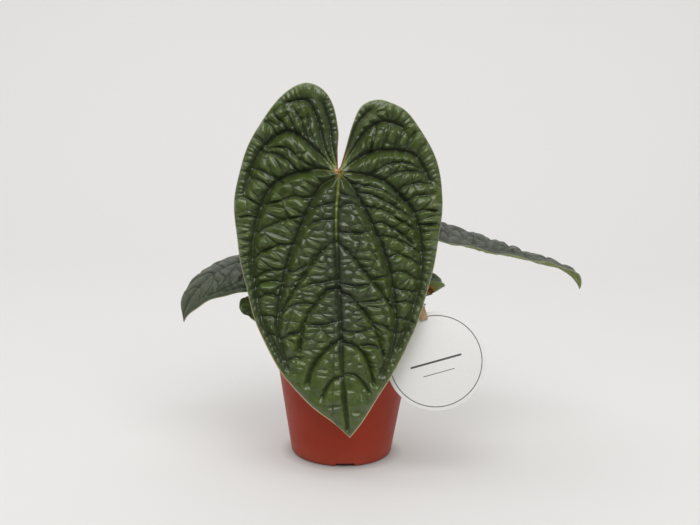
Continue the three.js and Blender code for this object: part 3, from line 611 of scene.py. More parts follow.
# Side veins that leave the midrib, then the cross veins that tie the veins of each half together.
SMALL_VEINS = {
    -1: [
        [(-2, 55), (-11, 59), (-29, 82), (-47, 109)],
        [(-1, 91), (-12, 94), (-27, 114), (-33, 140)],
        [(0, 131), (-9, 136), (-22, 151), (-27, 165)],
        [(1, 160), (-8, 163), (-16, 176)],
        [(-18, 18), (-24, 20), (-35, 19), (-46, 22), (-58, 24)],
        [(-27, 34), (-41, 36), (-57, 42), (-65, 46)],
        [(-33, 56), (-45, 56), (-58, 60), (-68, 66)],
        [(-42, 75), (-51, 75), (-59, 77), (-68, 82)],
        [(-46, 85), (-54, 84), (-62, 85), (-67, 89)],
        [(-48, 96), (-57, 94), (-66, 98)],
        [(-50, 113), (-57, 111), (-64, 112)],
        [(-49, 129), (-53, 126), (-58, 127)],
        [(-19, -4), (-31, -11), (-38, -18), (-46, -20), (-56, -19)],
        [(-31, -1), (-38, -8), (-45, -13), (-60, -17)],
        [(-43, 8), (-51, 3), (-59, -2), (-67, -4)],
        [(-53, 12), (-60, 6), (-70, 3)],
        [(-61, 26), (-67, 21), (-75, 18)],
        [(-64, 35), (-71, 33), (-78, 34)],
        [(-19, -25), (-21, -31), (-22, -42)],
        [(-24, -28), (-28, -40), (-35, -51)],
        [(-31, -29), (-35, -38), (-41, -50)],
        [(-38, -31), (-42, -38), (-49, -46)],
        [(-47, -29), (-51, -36), (-56, -40)],
        [(-57, -22), (-66, -29)],
        [(-2, 24), (-12, 26), (-20, 28)],
        [(-2, 37), (-15, 38), (-25, 42)],
        [(-19, 103), (-29, 102), (-37, 103), (-46, 109)],
        [(-33, 125), (-40, 126), (-48, 130)],
        [(-32, 145), (-38, 144), (-44, 147)],
        [(-2, 84), (-14, 86), (-24, 87)],
        [(-1, 116), (-13, 119), (-26, 119)],
        [(-26, 72), (-33, 76), (-41, 77)],
        [(-35, 88), (-45, 89)],
    ],
    1: [
        [(-1, 56), (8, 64), (29, 91), (41, 107)],
        [(0, 94), (9, 99), (25, 120), (33, 145)],
        [(1, 133), (10, 136), (19, 145), (25, 166)],
        [(2, 158), (12, 160), (21, 172)],
        [(9, 9), (20, 11), (34, 15), (50, 24)],
        [(15, 16), (27, 19), (38, 25), (46, 30), (57, 37)],
        [(19, 27), (35, 31), (46, 38), (60, 46)],
        [(26, 41), (35, 41), (47, 48), (58, 58)],
        [(30, 51), (38, 51), (50, 56), (63, 64)],
        [(38, 67), (46, 65), (55, 69), (64, 74)],
        [(39, 80), (49, 79), (62, 86)],
        [(41, 91), (49, 93), (61, 95)],
        [(42, 103), (51, 102), (59, 105)],
        [(43, 115), (51, 116), (56, 119)],
        [(42, 127), (50, 126)],
        [(25, 3), (32, -1), (40, -5), (52, -6), (66, -1)],
        [(36, 7), (45, 2), (56, 1), (70, 2)],
        [(45, 17), (53, 12), (64, 10), (72, 11)],
        [(52, 24), (61, 20), (74, 19)],
        [(58, 33), (68, 31), (76, 32)],
        [(62, 43), (76, 42)],
        [(25, -14), (27, -21), (30, -32)],
        [(34, -16), (37, -23), (41, -34)],
        [(43, -15), (47, -22), (52, -31)],
        [(51, -14), (55, -20), (60, -29)],
        [(61, -10), (65, -16), (69, -20)],
        [(0, 16), (7, 19), (14, 21)],
        [(-1, 28), (10, 25), (17, 28)],
        [(-2, 47), (10, 48), (24, 47)],
        [(26, 84), (31, 83), (39, 82)],
        [(29, 100), (35, 99), (41, 103)],
        [(22, 117), (33, 121), (42, 126)],
        [(16, 136), (24, 136), (33, 140)],
        [(0, 87), (10, 89), (22, 88)],
        [(9, 102), (20, 102), (32, 101)],
        [(0, 124), (11, 125), (24, 123)],
    ],
}

# How each blade is bent. The heading, pitch and roll set its direction at the notch; droop bends it
# down towards the tip, the later the higher the power; lobe bends the lobes; swing turns it in its
# own plane; twist turns the tip about the midrib; fold opens the two halves upwards at the midrib
# and curl bends them back towards the margins. Notches are in millimetres from the middle of the
# pot's foot, and side -1 is a mirrored leaf. Puff, pad and quilt scale the blisters' height, the
# panels' height and the blisters' width. The grey sheen value is the share of painted grey sheen,
# the bright room's reflection at a grazing view painted into the colour; young marks the folded
# leaf with the scar, whose upper face is painted paler, and spacing is the mesh's. The stalk
# leaves the crown at foot_angle, passes the points of the route and meets the blade square, or
# slanting by knee_lean.
LEAVES = [
    dict(name="leaf_front", scale=1, side=1, notch=(-6.9, -60.5, 250.1),
         heading=-90, pitch=-80, roll=0, droop=17, power=4, lobe=0, swing=2.4, twist=0,
         fold=6, curl=-22,
         puff=1.15, pad=1, quilt=1, grey_sheen=0, young=0, spacing=0.82,
         foot_angle=-90, knee_lean=0, route=[(2, -24, 160), (-4, -36, 225)]),
    dict(name="leaf_left", scale=0.61, side=1, notch=(-35.6, 13.5, 170),
         heading=202, pitch=1, roll=-2, droop=80, power=1.9, lobe=10, swing=-1.5, twist=-12,
         fold=6, curl=-60,
         puff=0.3, pad=0.55, quilt=1.9, grey_sheen=0.75, young=0, spacing=0.75,
         foot_angle=160, knee_lean=0.6, route=[(-17, 6, 132)]),
    dict(name="leaf_right", scale=0.857, side=-1, notch=(36.3, 17, 210),
         heading=8, pitch=-19, roll=-3, droop=66, power=19, lobe=5, swing=-4, twist=-9,
         fold=3, curl=-22,
         puff=1.0, pad=0.75, quilt=1.75, grey_sheen=0.95, young=0, spacing=0.85,
         foot_angle=20, knee_lean=0.6, route=[(12, 8, 140), (24, 13, 180)]),
    dict(name="leaf_small_left", scale=0.26, side=1, notch=(-47.6, -11, 130.3),
         heading=217, pitch=13, roll=-22, droop=100, power=5.2, lobe=-10, swing=7, twist=-19,
         fold=-11, curl=-48,
         puff=0.3, pad=0.5, quilt=1.3, grey_sheen=0.3, young=0, spacing=0.5,
         foot_angle=215, knee_lean=0.5, route=[(-20, -5, 114)]),
    dict(name="leaf_small_right", scale=0.3, side=-1, notch=(51.9, -4, 135.4),
         heading=-60, pitch=16, roll=0, droop=-18, power=1.5, lobe=5, swing=0, twist=0,
         fold=70, curl=-14,
         puff=0.2, pad=0.4, quilt=1.3, grey_sheen=1, young=1, spacing=0.5,
         foot_angle=-35, knee_lean=0.9, route=[(18, -3, 109), (34, -4, 119)]),
]
SCAR_SPOT = (-9, 142)  # a brown scar under the youngest leaf
SCAR_SIZE = 16

ROW_PITCH = 7.2
ROW_LEAN = 0.8  # rows by which a row of blisters reaches its outer vein further on
BLISTER_LENGTH = 15
BLISTER_HEIGHT = 3.3
BLISTER_SKEW = 0.75  # how much higher a blister is on its side towards the notch
BLISTER_TILT = 0.9  # how far blisters lean at random
BLISTER_STRETCH = (1.6, 0.82)  # reach of a blister along and across its row
BLISTER_OFF_VEIN = 1.8  # nearest that the middle of a blister comes to a vein
BLISTERS_APART = 0.4  # nearest that two middles lie, in rows; wider towards the tip
PAIRED_SHARE = 0.38  # blisters that have a second one beside them, on leaves without painted grey sheen
PANEL_HEIGHT = 2.0
PANEL_SLOPE = 3.0
FOLD_DEPTH = 4.0
CROSS_DEPTH = 1.4
SIDE_VEIN_DEPTH = 3.0
MIDRIB_REACH = 85.0  # how far the pale ribs run out from the notch
RIB_REACH = 30.0
EDGE_WAVE = 0.9
EDGE_WAVES = 17
EDGE_FLAT = 3.0  # how far in from the margin the relief starts
VEIN_RIDGE = 0.9  # how far the veins stand out below


def evenly(line, step):
    """The line again, as spots one step apart."""
    walked = np.concatenate([[0], np.cumsum(np.hypot(*np.diff(line, axis=0).T))])
    stops = np.linspace(0, walked[-1], max(2, round(walked[-1] / step)) + 1)
    return np.stack([np.interp(stops, walked, line[:, axis]) for axis in (0, 1)], 1)


def spline(points, side):
    """A smooth flat line through the points, as evenly spaced spots."""
    knots = np.array(points, float) * (side, 1)
    last = len(knots) - 1
    t = np.linspace(0, 1, 24, endpoint=False)[:, None]
    line = []
    for i in range(last):
        before, start, end, after = (knots[j] for j in (max(i - 1, 0), i, i + 1, min(i + 2, last)))
        leave, arrive = (end - before) / 2, (after - start) / 2
        line.append((2 * start - 2 * end + leave + arrive) * t ** 3
                    + (3 * end - 3 * start - 2 * leave - arrive) * t ** 2 + leave * t + start)
    return evenly(np.vstack([*line, knots[-1:]]), LINE_STEP)


def part_way(line, share):
    return line[min(len(line) - 1, int(round(share * (len(line) - 1))))]


def nearest(places, spots):
    """For each spot, the number of the nearest place."""
    tree = KDTree(len(places))
    for i, place in enumerate(places):
        tree.insert((*place, 0), i)
    tree.balance()
    return np.array([tree.find((*spot, 0))[1] for spot in spots], int)


def offsets(lines, spots):
    """For each spot: distance to the nearest line, the side it lies on, share walked, which line."""
    starts = np.vstack([line[:-1] for line in lines])
    ahead = np.vstack([np.diff(line, axis=0) for line in lines])
    share = np.concatenate([np.linspace(0, 1, len(line) - 1) for line in lines])
    which = np.concatenate([np.full(len(line) - 1, k) for k, line in enumerate(lines)])
    near = nearest(starts + ahead / 2, spots)
    reach = np.hypot(*ahead[near].T)
    away = spots - starts[near]
    along = (away * ahead[near]).sum(1) / reach
    aside = (ahead[near, 0] * away[:, 1] - ahead[near, 1] * away[:, 0]) / reach
    past = np.maximum(0, np.maximum(-along, along - reach))
    return np.hypot(aside, past), np.sign(aside), share[near], which[near]


def inside(loop, spots):
    held = np.zeros(len(spots), bool)
    for (ax, ay), (bx, by) in zip(loop, np.roll(loop, -1, axis=0)):
        if ay != by:
            straddles = (ay > spots[:, 1]) != (by > spots[:, 1])
            held ^= straddles & (spots[:, 0] < (bx - ax) * (spots[:, 1] - ay) / (by - ay) + ax)
    return held


def jitter(a, b):
    wave = math.sin(a * 127.1 + b * 311.7) * 43758.5453
    return wave - math.floor(wave) - 0.5


def fade(value, low, high):
    t = np.clip((value - low) / (high - low), 0, 1)
    return t * t * (3 - 2 * t)


def row_of_blisters(start, end, pitch, length, number):
    """Middles of the blisters from start to end, each with the row's direction."""
    way = end - start
    ahead = way / max(np.hypot(*way), 1e-6)
    count = max(1, round(np.hypot(*way) / length))
    baseward = np.array([-ahead[1], ahead[0]]) * (-1 if ahead[0] > 0 else 1)
    return [(*(start + way * (k + 0.5 + 0.6 * jitter(number, k)) / count
               + baseward * pitch * 0.5 * jitter(k, number + 7)), *ahead, *baseward)
            for k in range(count)]


def lay_out(leaf):
    """Veins, blisters and outline of one leaf, still flat."""
    larger = leaf["quilt"] * leaf["scale"] ** -0.6
    side = leaf["side"]
    edges = {half: spline(MARGINS[half], side) for half in (-1, 1)}
    outline = np.vstack([edges[-1], edges[1][:-1][::-1]])
    midrib = spline(MIDRIB, side)
    main, outward, cross, blisters = [midrib], [0], [], []
    cross_outward, cross_depth = [], []
    for half in (-1, 1):
        veins = [spline(points, side) for points in MAIN_VEINS[half]]
        main += veins
        outward += [half * side] * len(veins)
        cross += [spline(points, side) for points in SMALL_VEINS[half]]
        cross_outward += [half * side] * len(SMALL_VEINS[half])
        cross_depth += [SIDE_VEIN_DEPTH if abs(points[0][0]) < 3 and len(points) > 3 else CROSS_DEPTH
                        for points in SMALL_VEINS[half]]
        for strip, (inner, outer) in enumerate(zip([midrib, *veins], veins)):
            (a, b), (c, d) = STRIPS[strip]
            pitch = ROW_PITCH * larger * (0.85 if strip == 3 else 1)
            rows = round((b - a) * len(inner) * LINE_STEP / pitch)
            for row in range(rows):
                t = (row + 0.5) / rows
                start = part_way(inner, a + (b - a) * t)
                end = part_way(outer, c + (d - c) * min(1, t + ROW_LEAN / rows))
                length = BLISTER_LENGTH * larger * (0.65 if strip == 0 else 1)
                blisters += row_of_blisters(start, end, pitch, length, row + 40 * strip + 9 * half)
        # Short rows from the outermost veins to the margin.
        trunk = np.vstack([midrib, *veins])
        rungs = evenly(edges[half], 0.95 * ROW_PITCH * larger)[1:-1]
        for number, (rung, foot) in enumerate(zip(rungs, trunk[nearest(trunk, rungs)])):
            blisters += row_of_blisters(
                foot, rung, ROW_PITCH * larger, BLISTER_LENGTH * larger, number + 500)
    # A second blister beside many of them; then those on a vein or too near another go.
    beside = 0.45 * pitch
    paired = [(x - beside * baseward_x, y - beside * baseward_y, *way, baseward_x, baseward_y)
              for k, (x, y, *way, baseward_x, baseward_y) in enumerate(blisters)
              if jitter(k, 29) > 0.5 - PAIRED_SHARE and not leaf["grey_sheen"]]
    blisters = np.array(blisters + paired)
    spacious = offsets(main + cross, blisters[:, :2])[0] > BLISTER_OFF_VEIN
    blisters = blisters[spacious & inside(outline, blisters[:, :2])]
    wider = 1 + 0.9 * fade(blisters[:, 1], 125, 185)
    apart = BLISTERS_APART * ROW_PITCH * larger * wider[:, None]
    cells = np.unique(np.round(blisters[:, :2] / apart), axis=0, return_index=True)[1]
    return dict(outline=outline, main=main, outward=np.array(outward), cross=cross,
                cross_outward=np.array(cross_outward), cross_depth=np.array(cross_depth),
                blisters=blisters[np.sort(cells)], pitch=ROW_PITCH * larger)


def pillows(flat, spots):
    """For each spot: distance from the seams, its blister, and how far up in the blister it is."""
    seeds, pitch = flat["blisters"], flat["pitch"]
    gap, owner = np.empty(len(spots)), np.empty(len(spots), int)
    for start in range(0, len(spots), 4000):
        block = slice(start, start + 4000)
        dx = spots[block, None, 0] - seeds[None, :, 0]
        dy = spots[block, None, 1] - seeds[None, :, 1]
        along = (dx * seeds[:, 2] + dy * seeds[:, 3]) / BLISTER_STRETCH[0]
        aside = (dy * seeds[:, 2] - dx * seeds[:, 3]) / BLISTER_STRETCH[1]
        reach = along * along + aside * aside
        owner[block] = reach.argmin(1)
        nearest_two = np.sqrt(np.partition(reach, 1, axis=1)[:, :2])
        gap[block] = nearest_two[:, 1] - nearest_two[:, 0]
    from_seed = (spots - seeds[owner, :2]) / pitch
    upward = (from_seed * seeds[owner, 4:6]).sum(1)
    sideways = (from_seed * seeds[owner, 2:4]).sum(1)
    return gap / pitch, owner, np.clip(upward, -0.6, 0.6), np.clip(sideways, -0.9, 0.9)


def relief(leaf, flat, spots):
    """For each spot: the blade's height, how full its blister is, and what its colour depends on."""
    # Where the spot lies: by the main veins, the small veins, the margin and the blisters.
    vein, turn, share, which = offsets(flat["main"], spots)
    edge, _, round_share, _ = offsets([np.vstack([flat["outline"], flat["outline"][:1]])], spots)
    cross, cross_turn, _, cross_which = offsets(flat["cross"], spots)
    seam, owner, upward, sideways = pillows(flat, spots)
    grey_sheen = leaf["grey_sheen"]
    on_midrib = which == 0
    outer_side = turn * flat["outward"][which] < 0
    from_notch = np.hypot(*spots.T)
    past_notch = fade(from_notch, 1, 8)
    towards_tip = fade(spots[:, 1], 110, 160)

    # Blisters: domes between the seams, kept off the veins, each tipped a little its own way.
    flank = np.where(on_midrib, 2.6, np.where(outer_side, 2.0, 6.8))
    free = fade(vein, 0.35 * flank, flank) * fade(cross, -0.4, 1.6)
    by_midrib = (1 - fade(np.abs(spots[:, 0] - 2), 3, 13)) * (spots[:, 1] > 0) * (1 - towards_tip)
    free *= 1 - 0.5 * (1 - grey_sheen) * by_midrib
    swell, tip_up, tip_aside = (
        np.array([jitter(k, draw) for k in range(len(flat["blisters"]))])[owner] for draw in (5, 11, 17))
    lean = BLISTER_SKEW * upward + BLISTER_TILT * (tip_up * upward + tip_aside * sideways)
    uneven = (1 - 0.6 * grey_sheen) * swell + lean
    rise = np.minimum(seam / (1.25 + 0.7 * towards_tip), 1)
    dome = 1 - (1 - rise) ** (1.35 + 0.9 * grey_sheen)
    blister = dome * free * np.clip(1 + (1 - 0.7 * grey_sheen) * uneven, 0.2, 1.9 - 0.5 * towards_tip)

    # Panels between the veins, the folds in which the main veins lie, and the small veins.
    from_vein = np.minimum(vein * (1 + 1.5 * on_midrib * towards_tip), cross + 0.3)
    panel = 1 - np.exp(-from_vein / (PANEL_SLOPE * leaf["pad"] ** 1.5))
    panel *= 1 + 0.9 * (1 - grey_sheen) * towards_tip
    fold = np.where(on_midrib, 0.7 * np.exp(-vein / 1.3),
                    np.where(outer_side, np.exp(-vein / 1.7), 1 - fade(vein, -2.5, 7.5)))
    fold *= (1 - 0.55 * share ** 3) * (1 - 0.6 * on_midrib * towards_tip) * past_notch
    tipward = cross_turn * flat["cross_outward"][cross_which] > 0
    scoop = np.where(tipward, np.exp(-cross / 0.6), 1 - fade(cross, -2, 5.5))
    scoop *= flat["cross_depth"][cross_which]

    # Ribs: the pale raised ridges of the main veins near the notch.
    rib_reach = np.where(on_midrib, MIDRIB_REACH, RIB_REACH)
    rib = np.exp(-(vein / np.where(on_midrib, 1.0 - 0.4 * share, 0.6)) ** 2)
    rib *= 1 - fade(from_notch, 0.2 * rib_reach, rib_reach)

    height = (BLISTER_HEIGHT * leaf["puff"] * blister + PANEL_HEIGHT * leaf["pad"] * panel
              - FOLD_DEPTH * leaf["pad"] * fold - leaf["pad"] ** 2 * scoop + rib)
    height *= 1 - np.exp(-edge / EDGE_FLAT)
    height += EDGE_WAVE * np.sin(round_share * math.tau * EDGE_WAVES) * np.exp(-edge / 12)

    # Painted shade for the colour: dark along the folds of the main veins, in the seams between blisters
    # and along the small veins.
    crease = np.exp(-vein / np.where(outer_side, 1.6, 0.5)) * (1 - 0.75 * on_midrib * towards_tip)
    seams = np.maximum(np.exp(-seam / 0.1) * free * (1 - 0.8 * towards_tip), np.exp(-cross / 0.7))
    real = leaf["scale"]
    facts = dict(
        vein=vein * real * np.where(on_midrib, 2.5, 1),
        valley_shade=np.maximum(seams, crease) * past_notch,
        edge=edge * real,
        rib=rib,
        walked=from_notch * real,
        midrib=np.exp(-np.abs(spots[:, 0]) / 16) * (1 - 0.85 * towards_tip),
        lobes=(spots[:, 1] < 0) * 1.0,
        grey_sheen=np.full(len(spots), grey_sheen),
        young=np.full(len(spots), 0.7 * leaf["young"]),
        scar=leaf["young"] * np.exp(-((spots - SCAR_SPOT) ** 2).sum(1) / SCAR_SIZE ** 2))
    return height * math.sqrt(real), blister, facts


def bend(leaf, spots, height):
    """Maps flat spots and heights above the blade to places in the plant, in metres."""
    size, swing = leaf["scale"], math.radians(leaf["swing"])
    u = size * (spots[:, 0] * math.cos(swing) + spots[:, 1] * math.sin(swing))
    v = size * (spots[:, 1] * math.cos(swing) - spots[:, 0] * math.sin(swing))
    length = LEAF_LENGTH * size

    def slope(x):
        drooping = leaf["pitch"] - leaf["droop"] * np.maximum(x / length, 0) ** leaf["power"]
        return np.radians(np.where(x >= 0, drooping, leaf["pitch"] + leaf["lobe"] * np.abs(x / length)))

    steps = 24
    here = slope(v[:, None] * (np.arange(steps) + 0.5) / steps)
    run = (np.cos(here) * v[:, None]).mean(1)
    rise = (np.sin(here) * v[:, None]).mean(1)
    heading = math.radians(leaf["heading"])
    ahead = np.array([math.cos(heading), math.sin(heading), 0])
    up = np.array([0, 0, 1])
    tilt = slope(v)[:, None]
    along = ahead * np.cos(tilt) + up * np.sin(tilt)
    level = up * np.cos(tilt) - ahead * np.sin(tilt)
    turn = np.radians(leaf["roll"] + leaf["twist"] * np.clip(v / length, -1, 1))[:, None]
    normal = level * np.cos(turn) + np.cross(along, level) * np.sin(turn)
    sideways = np.cross(normal, along)

    fold = math.radians(leaf["fold"])
    bend_rate = math.radians(leaf["curl"]) / (LEAF_HALF_WIDTH * size)
    lean = fold + bend_rate * np.abs(u)
    out = (np.sin(lean) - math.sin(fold)) / bend_rate
    lift = (math.cos(fold) - np.cos(lean)) / bend_rate
    places = (np.array(leaf["notch"]) + ahead * run[:, None] + up * rise[:, None]
              + sideways * (np.sign(u) * (out - np.sin(lean) * height))[:, None]
              + normal * (lift + np.cos(lean) * height)[:, None])
    return places * MM + np.array(middle)


def net_inside(flat, edge, step):
    """An even net of triangles inside the edge, with a row of points along every vein."""
    low, high = edge.min(0), edge.max(0)
    loop = np.vstack([edge, edge[:1]])
    creases = np.vstack([evenly(line, step) for line in flat["main"] + flat["cross"]])
    creases = creases[inside(edge, creases)]
    creases = creases[offsets([loop], creases)[0] > 0.6 * step]
    creases = creases[np.sort(np.unique(np.round(creases / (0.5 * step)), axis=0, return_index=True)[1])]
    net = []
    for i, y in enumerate(np.arange(low[1], high[1], step * 0.866)):
        across = np.arange(low[0] + (i % 2) * step / 2, high[0], step)
        net.append(np.stack([across, np.full(len(across), y)], 1))
    net = np.vstack(net)
    net += random_draw.uniform(-0.1, 0.1, net.shape) * step
    net = net[inside(edge, net)]
    net = net[offsets([loop], net)[0] > 0.5 * step]
    net = net[np.hypot(*(net - creases[nearest(creases, net)]).T) > 0.6 * step]
    spots = np.vstack([edge, creases, net])
    triangles = np.array(delaunay_2d_cdt([Vector(spot) for spot in spots.tolist()], [], [], 0, 1e-7)[2])
    a, b, c = (spots[triangles[:, k]] for k in range(3))
    area = (b[:, 0] - a[:, 0]) * (c[:, 1] - a[:, 1]) - (b[:, 1] - a[:, 1]) * (c[:, 0] - a[:, 0])
    kept = inside(edge, spots[triangles].mean(1)) & (np.abs(area) > 1e-6)
    triangles[area < 0] = triangles[area < 0][:, ::-1]
    return spots, triangles[kept]


def blade(leaf, flat):
    """One leaf blade in relief and bent: a fine upper skin, a coarser lower skin and the rim."""
    step = leaf["spacing"] / leaf["scale"]
    edge = evenly(np.vstack([flat["outline"], flat["outline"][:1]]), step)[:-1]
    skins = []
    for coarser, below in ((1, 0), (1.6, 1)):
        spots, triangles = net_inside(flat, edge, step * coarser)
        height, blister, facts = relief(leaf, flat, spots)
        facts["underside"] = np.full(len(spots), below)
        if below:
            puff = 0.5 * BLISTER_HEIGHT * leaf["puff"] * math.sqrt(leaf["scale"]) * blister
            vein_ridge = VEIN_RIDGE * leaf["scale"] * np.exp(-(facts["vein"] / 1.6) ** 2)
            thinner_edge = 1 - 0.7 * np.exp(-facts["edge"] / 0.8)
            height -= (BLADE_THICKNESS + puff + vein_ridge) * thinner_edge
        skins.append((bend(leaf, spots, height), triangles, facts))
    (upper, top_net, top_facts), (lower, low_net, low_facts) = skins
    count, rim = len(upper), np.arange(len(edge))
    after = (rim + 1) % len(edge)
    band = np.vstack([np.stack([rim, rim + count, after], 1),
                      np.stack([after, rim + count, after + count], 1)])
    polygons = np.vstack([top_net, low_net[:, ::-1] + count, band])
    piece = mesh_object(leaf["name"], np.vstack([upper, lower]), polygons)
    for name, values in top_facts.items():
        paint_points(piece, name, np.concatenate([values, low_facts[name]]))
    bpy.ops.object.mode_set(mode="EDIT")
    face_outwards()
    bpy.ops.object.mode_set(mode="OBJECT")
    bpy.ops.object.shade_smooth()


leaf_paint = Paint("leaf_blade", Roughness=0.4, Coat_Roughness=0.2, IOR=1.45)
vein, valley_shade, edge, walked, rib, near_midrib, grey_sheen = (
    leaf_paint.attribute(name)
    for name in ("vein", "valley_shade", "edge", "walked", "rib", "midrib", "grey_sheen"))
mottle = leaf_paint.noise(9 * MM, 4)

# Blister faces, darker along the midrib and greyer there with painted sheen, and lighter along the margin
# of the base.
green = leaf_paint.tint(mottle, 0.35, 0.65, (0.046, 0.081, 0.004), (0.077, 0.123, 0.006))
green = leaf_paint.tint(near_midrib, 0.15, 0.9, green, (0.036, 0.050, 0.021), 0.0, 0.85)
margin = leaf_paint.times(
    leaf_paint.between(edge, 2, 26, 0.5, 0.0), leaf_paint.between(walked, 110, 165, 1.0, 0.0))
green = leaf_paint.blend(margin, green, (0.095, 0.15, 0.018))

# Painted grey sheen on the older leaves: the bright room's reflection at a grazing view, painted into the
# colour.
painted_sheen = leaf_paint.tint(grey_sheen, 0.75, 0.95, (0.046, 0.049, 0.044), (0.080, 0.083, 0.077))
green = leaf_paint.blend(leaf_paint.times(grey_sheen, 0.9), green, painted_sheen)

# Painted shade in the seams and folds and in a band along the flanks of the main veins, and the pale ribs
# that rise from the folds near the notch.
seams = leaf_paint.times(
    leaf_paint.between(valley_shade, 0.1, 0.9, 0.0, 0.88), leaf_paint.between(grey_sheen, 0, 1, 1.0, 0.8))
green = leaf_paint.blend(seams, green, (0.010, 0.019, 0.004))
green = leaf_paint.tint(vein, 1, 7, green, (0.020, 0.034, 0.010), 0.45, 0.0)
green = leaf_paint.tint(vein, 0.1, 0.45, green, (0.11, 0.11, 0.045), 0.3, 0.0)
green = leaf_paint.tint(rib, 0.15, 0.75, green, (0.24, 0.30, 0.05))

# Rim of the blade, yellow and wider at the tip and greyer under the painted grey sheen, and red along the
# lobes in the notch.
rim = leaf_paint.tint(walked, 90, 160, (0.30, 0.33, 0.12), (0.80, 0.58, 0.17))
rim = leaf_paint.blend(grey_sheen, rim, (0.27, 0.31, 0.18))
wider_at_tip = leaf_paint.math("SUBTRACT", edge, leaf_paint.between(walked, 120, 200, 0.0, 0.4))
green = leaf_paint.tint(wider_at_tip, 0.35, 0.85, green, rim, 0.9, 0.0)
star = leaf_paint.times(
    leaf_paint.between(walked, 1.5, 5, 0.9, 0.0), leaf_paint.between(rib, 0.0, 0.6))
star = leaf_paint.math("MAXIMUM", star, leaf_paint.between(walked, 1.4, 3.0, 0.95, 0.0))
green = leaf_paint.blend(star, green, (0.50, 0.25, 0.07))
sinus = leaf_paint.times(
    leaf_paint.between(edge, 0.4, 1.2, 1.0, 0.0), leaf_paint.between(walked, 12, 34, 1.0, 0.0))
sinus = leaf_paint.times(sinus, leaf_paint.attribute("lobes"))
green = leaf_paint.blend(sinus, green, (0.26, 0.035, 0.02))

# Pale underside, the young leaf's paler grey upper face (partly its own paler colour, partly painted
# reflection) and its brown scar.
upper = leaf_paint.blend(leaf_paint.attribute("young"), green, (0.26, 0.32, 0.24))
# The underside's own pale colour, made lighter still as painted light standing in for the floor's bounce
# light.
pale = leaf_paint.tint(vein, 0.5, 2.5, (0.52, 0.59, 0.26), (0.36, 0.45, 0.17))
green = leaf_paint.blend(leaf_paint.attribute("underside"), upper, pale)
scar = leaf_paint.times(leaf_paint.attribute("scar"), leaf_paint.between(mottle, 0.3, 0.7, 0.3, 1.9))
green = leaf_paint.tint(scar, 0.25, 0.45, green, (0.74, 0.35, 0.06))
green = leaf_paint.tint(scar, 0.7, 0.95, green, (0.26, 0.095, 0.024))
leaf_paint.colour(green)

# Waxy gloss, duller under the painted grey sheen, over fine crinkles.
gloss = leaf_paint.times(
    leaf_paint.between(near_midrib, 0.1, 0.9, 0.85, 1.0), leaf_paint.between(grey_sheen, 0, 1, 1.0, 0.2))
leaf_paint.plug(gloss, leaf_paint.surface.inputs["Coat Weight"])
patchy = leaf_paint.between(leaf_paint.noise(4 * MM, 4), 0.3, 0.7, 0.38, 0.56)
leaf_paint.roughness(leaf_paint.math("ADD", patchy, leaf_paint.times(grey_sheen, 0.12)))
crease = leaf_paint.math("SUBTRACT", leaf_paint.noise(2.8 * MM, 5, 0.6, 0.6), 0.5)
crinkles = leaf_paint.bump(leaf_paint.math("ABSOLUTE", crease, 0.0), 3.2 * MM, 0.9)
leaf_paint.bump(leaf_paint.noise(0.5 * MM, 2), 0.1 * MM, 0.3, crinkles)

flat_leaves = {leaf["name"]: lay_out(leaf) for leaf in LEAVES}
for leaf in LEAVES:
    blade(leaf, flat_leaves[leaf["name"]])
    finished(f"{leaf['name']}_lamina", [f"{leaf['name']}_blade"], leaf_paint.material)


# ---------------------------------------------------------------- petioles
# Slim green stalks, thicker at the foot where they clasp the crown, with a swollen knee just
# below the blade.

PETIOLE_FOOT_RADIUS = 3.4
PETIOLE_RADIUS = 2.2
PETIOLE_RING = 7.5  # distance of the feet from the crown's axis
PETIOLE_FOOT_LEVEL = 98
PETIOLE_SOCKET = 10
KNEE_RADIUS = 2.7
KNEE_LENGTH = 12
JOINT_PLACE = 5  # from the notch to the stalk's end, along the midrib

petiole_paint = Paint("petiole", Roughness=0.42)
streak = petiole_paint.fibres(0.8 * MM, 12)
stalk = petiole_paint.tint(streak, 0.35, 0.7, (0.085, 0.14, 0.03), (0.14, 0.2, 0.055))
stalk = petiole_paint.tint(
    petiole_paint.height(), 100 * MM, 125 * MM, stalk, (0.13, 0.065, 0.035), 0.75, 0.0)
petiole_paint.stained_colour(stalk, 97 * MM)
petiole_paint.bump(streak, 0.15 * MM, 0.6)

for leaf in LEAVES:
    angle = math.radians(leaf["foot_angle"])
    outwards = (towards(angle) + Vector((0, 0, 8))).normalized()
    foot = PETIOLE_RING * towards(angle) + Vector((0, 0, PETIOLE_FOOT_LEVEL))
    joint = np.array([[leaf["side"] * 0.5, JOINT_PLACE / leaf["scale"]]])
    sunk = relief(leaf, flat_leaves[leaf["name"]], joint)[0] - 0.65 - 0.45 * leaf["scale"]
    end, deeper, onward = (Vector(bend(leaf, spot, sunk - down)[0]) for spot, down in (
        (joint, 0), (joint, 1), (joint + (0, 1), 0)))
    square, along = (end - deeper).normalized(), (onward - end).normalized()
    arrival = (square + leaf["knee_lean"] * along).normalized()
    line = [
        middle + foot * MM,
        middle + (foot + outwards * (PETIOLE_SOCKET + 2)) * MM,
        *[middle + Vector(place) * MM for place in leaf["route"]],
        end - arrival * KNEE_LENGTH * MM,
        end - arrival * 0.5 * KNEE_LENGTH * MM,
        end]
    thin = leaf["scale"] ** 0.4 * MM
    radii = [PETIOLE_FOOT_RADIUS * 1.15, PETIOLE_FOOT_RADIUS * 0.95,
             *[PETIOLE_RADIUS] * len(leaf["route"]), PETIOLE_RADIUS, KNEE_RADIUS, KNEE_RADIUS * 0.95]
    tube(leaf["name"], line, [radius * thin for radius in radii], 6)
    finished(f"{leaf['name']}_stalk", [f"{leaf['name']}_petiole"], petiole_paint.material)


# ---------------------------------------------------------------- plant label
# A round white card with a thin printed ring and two ruled lines, gripped by a small wooden
# peg with a wire spring. The peg leans on a thin bamboo stick pushed into the soil. The card's
# own frame has z up the card and its printed face towards -y.

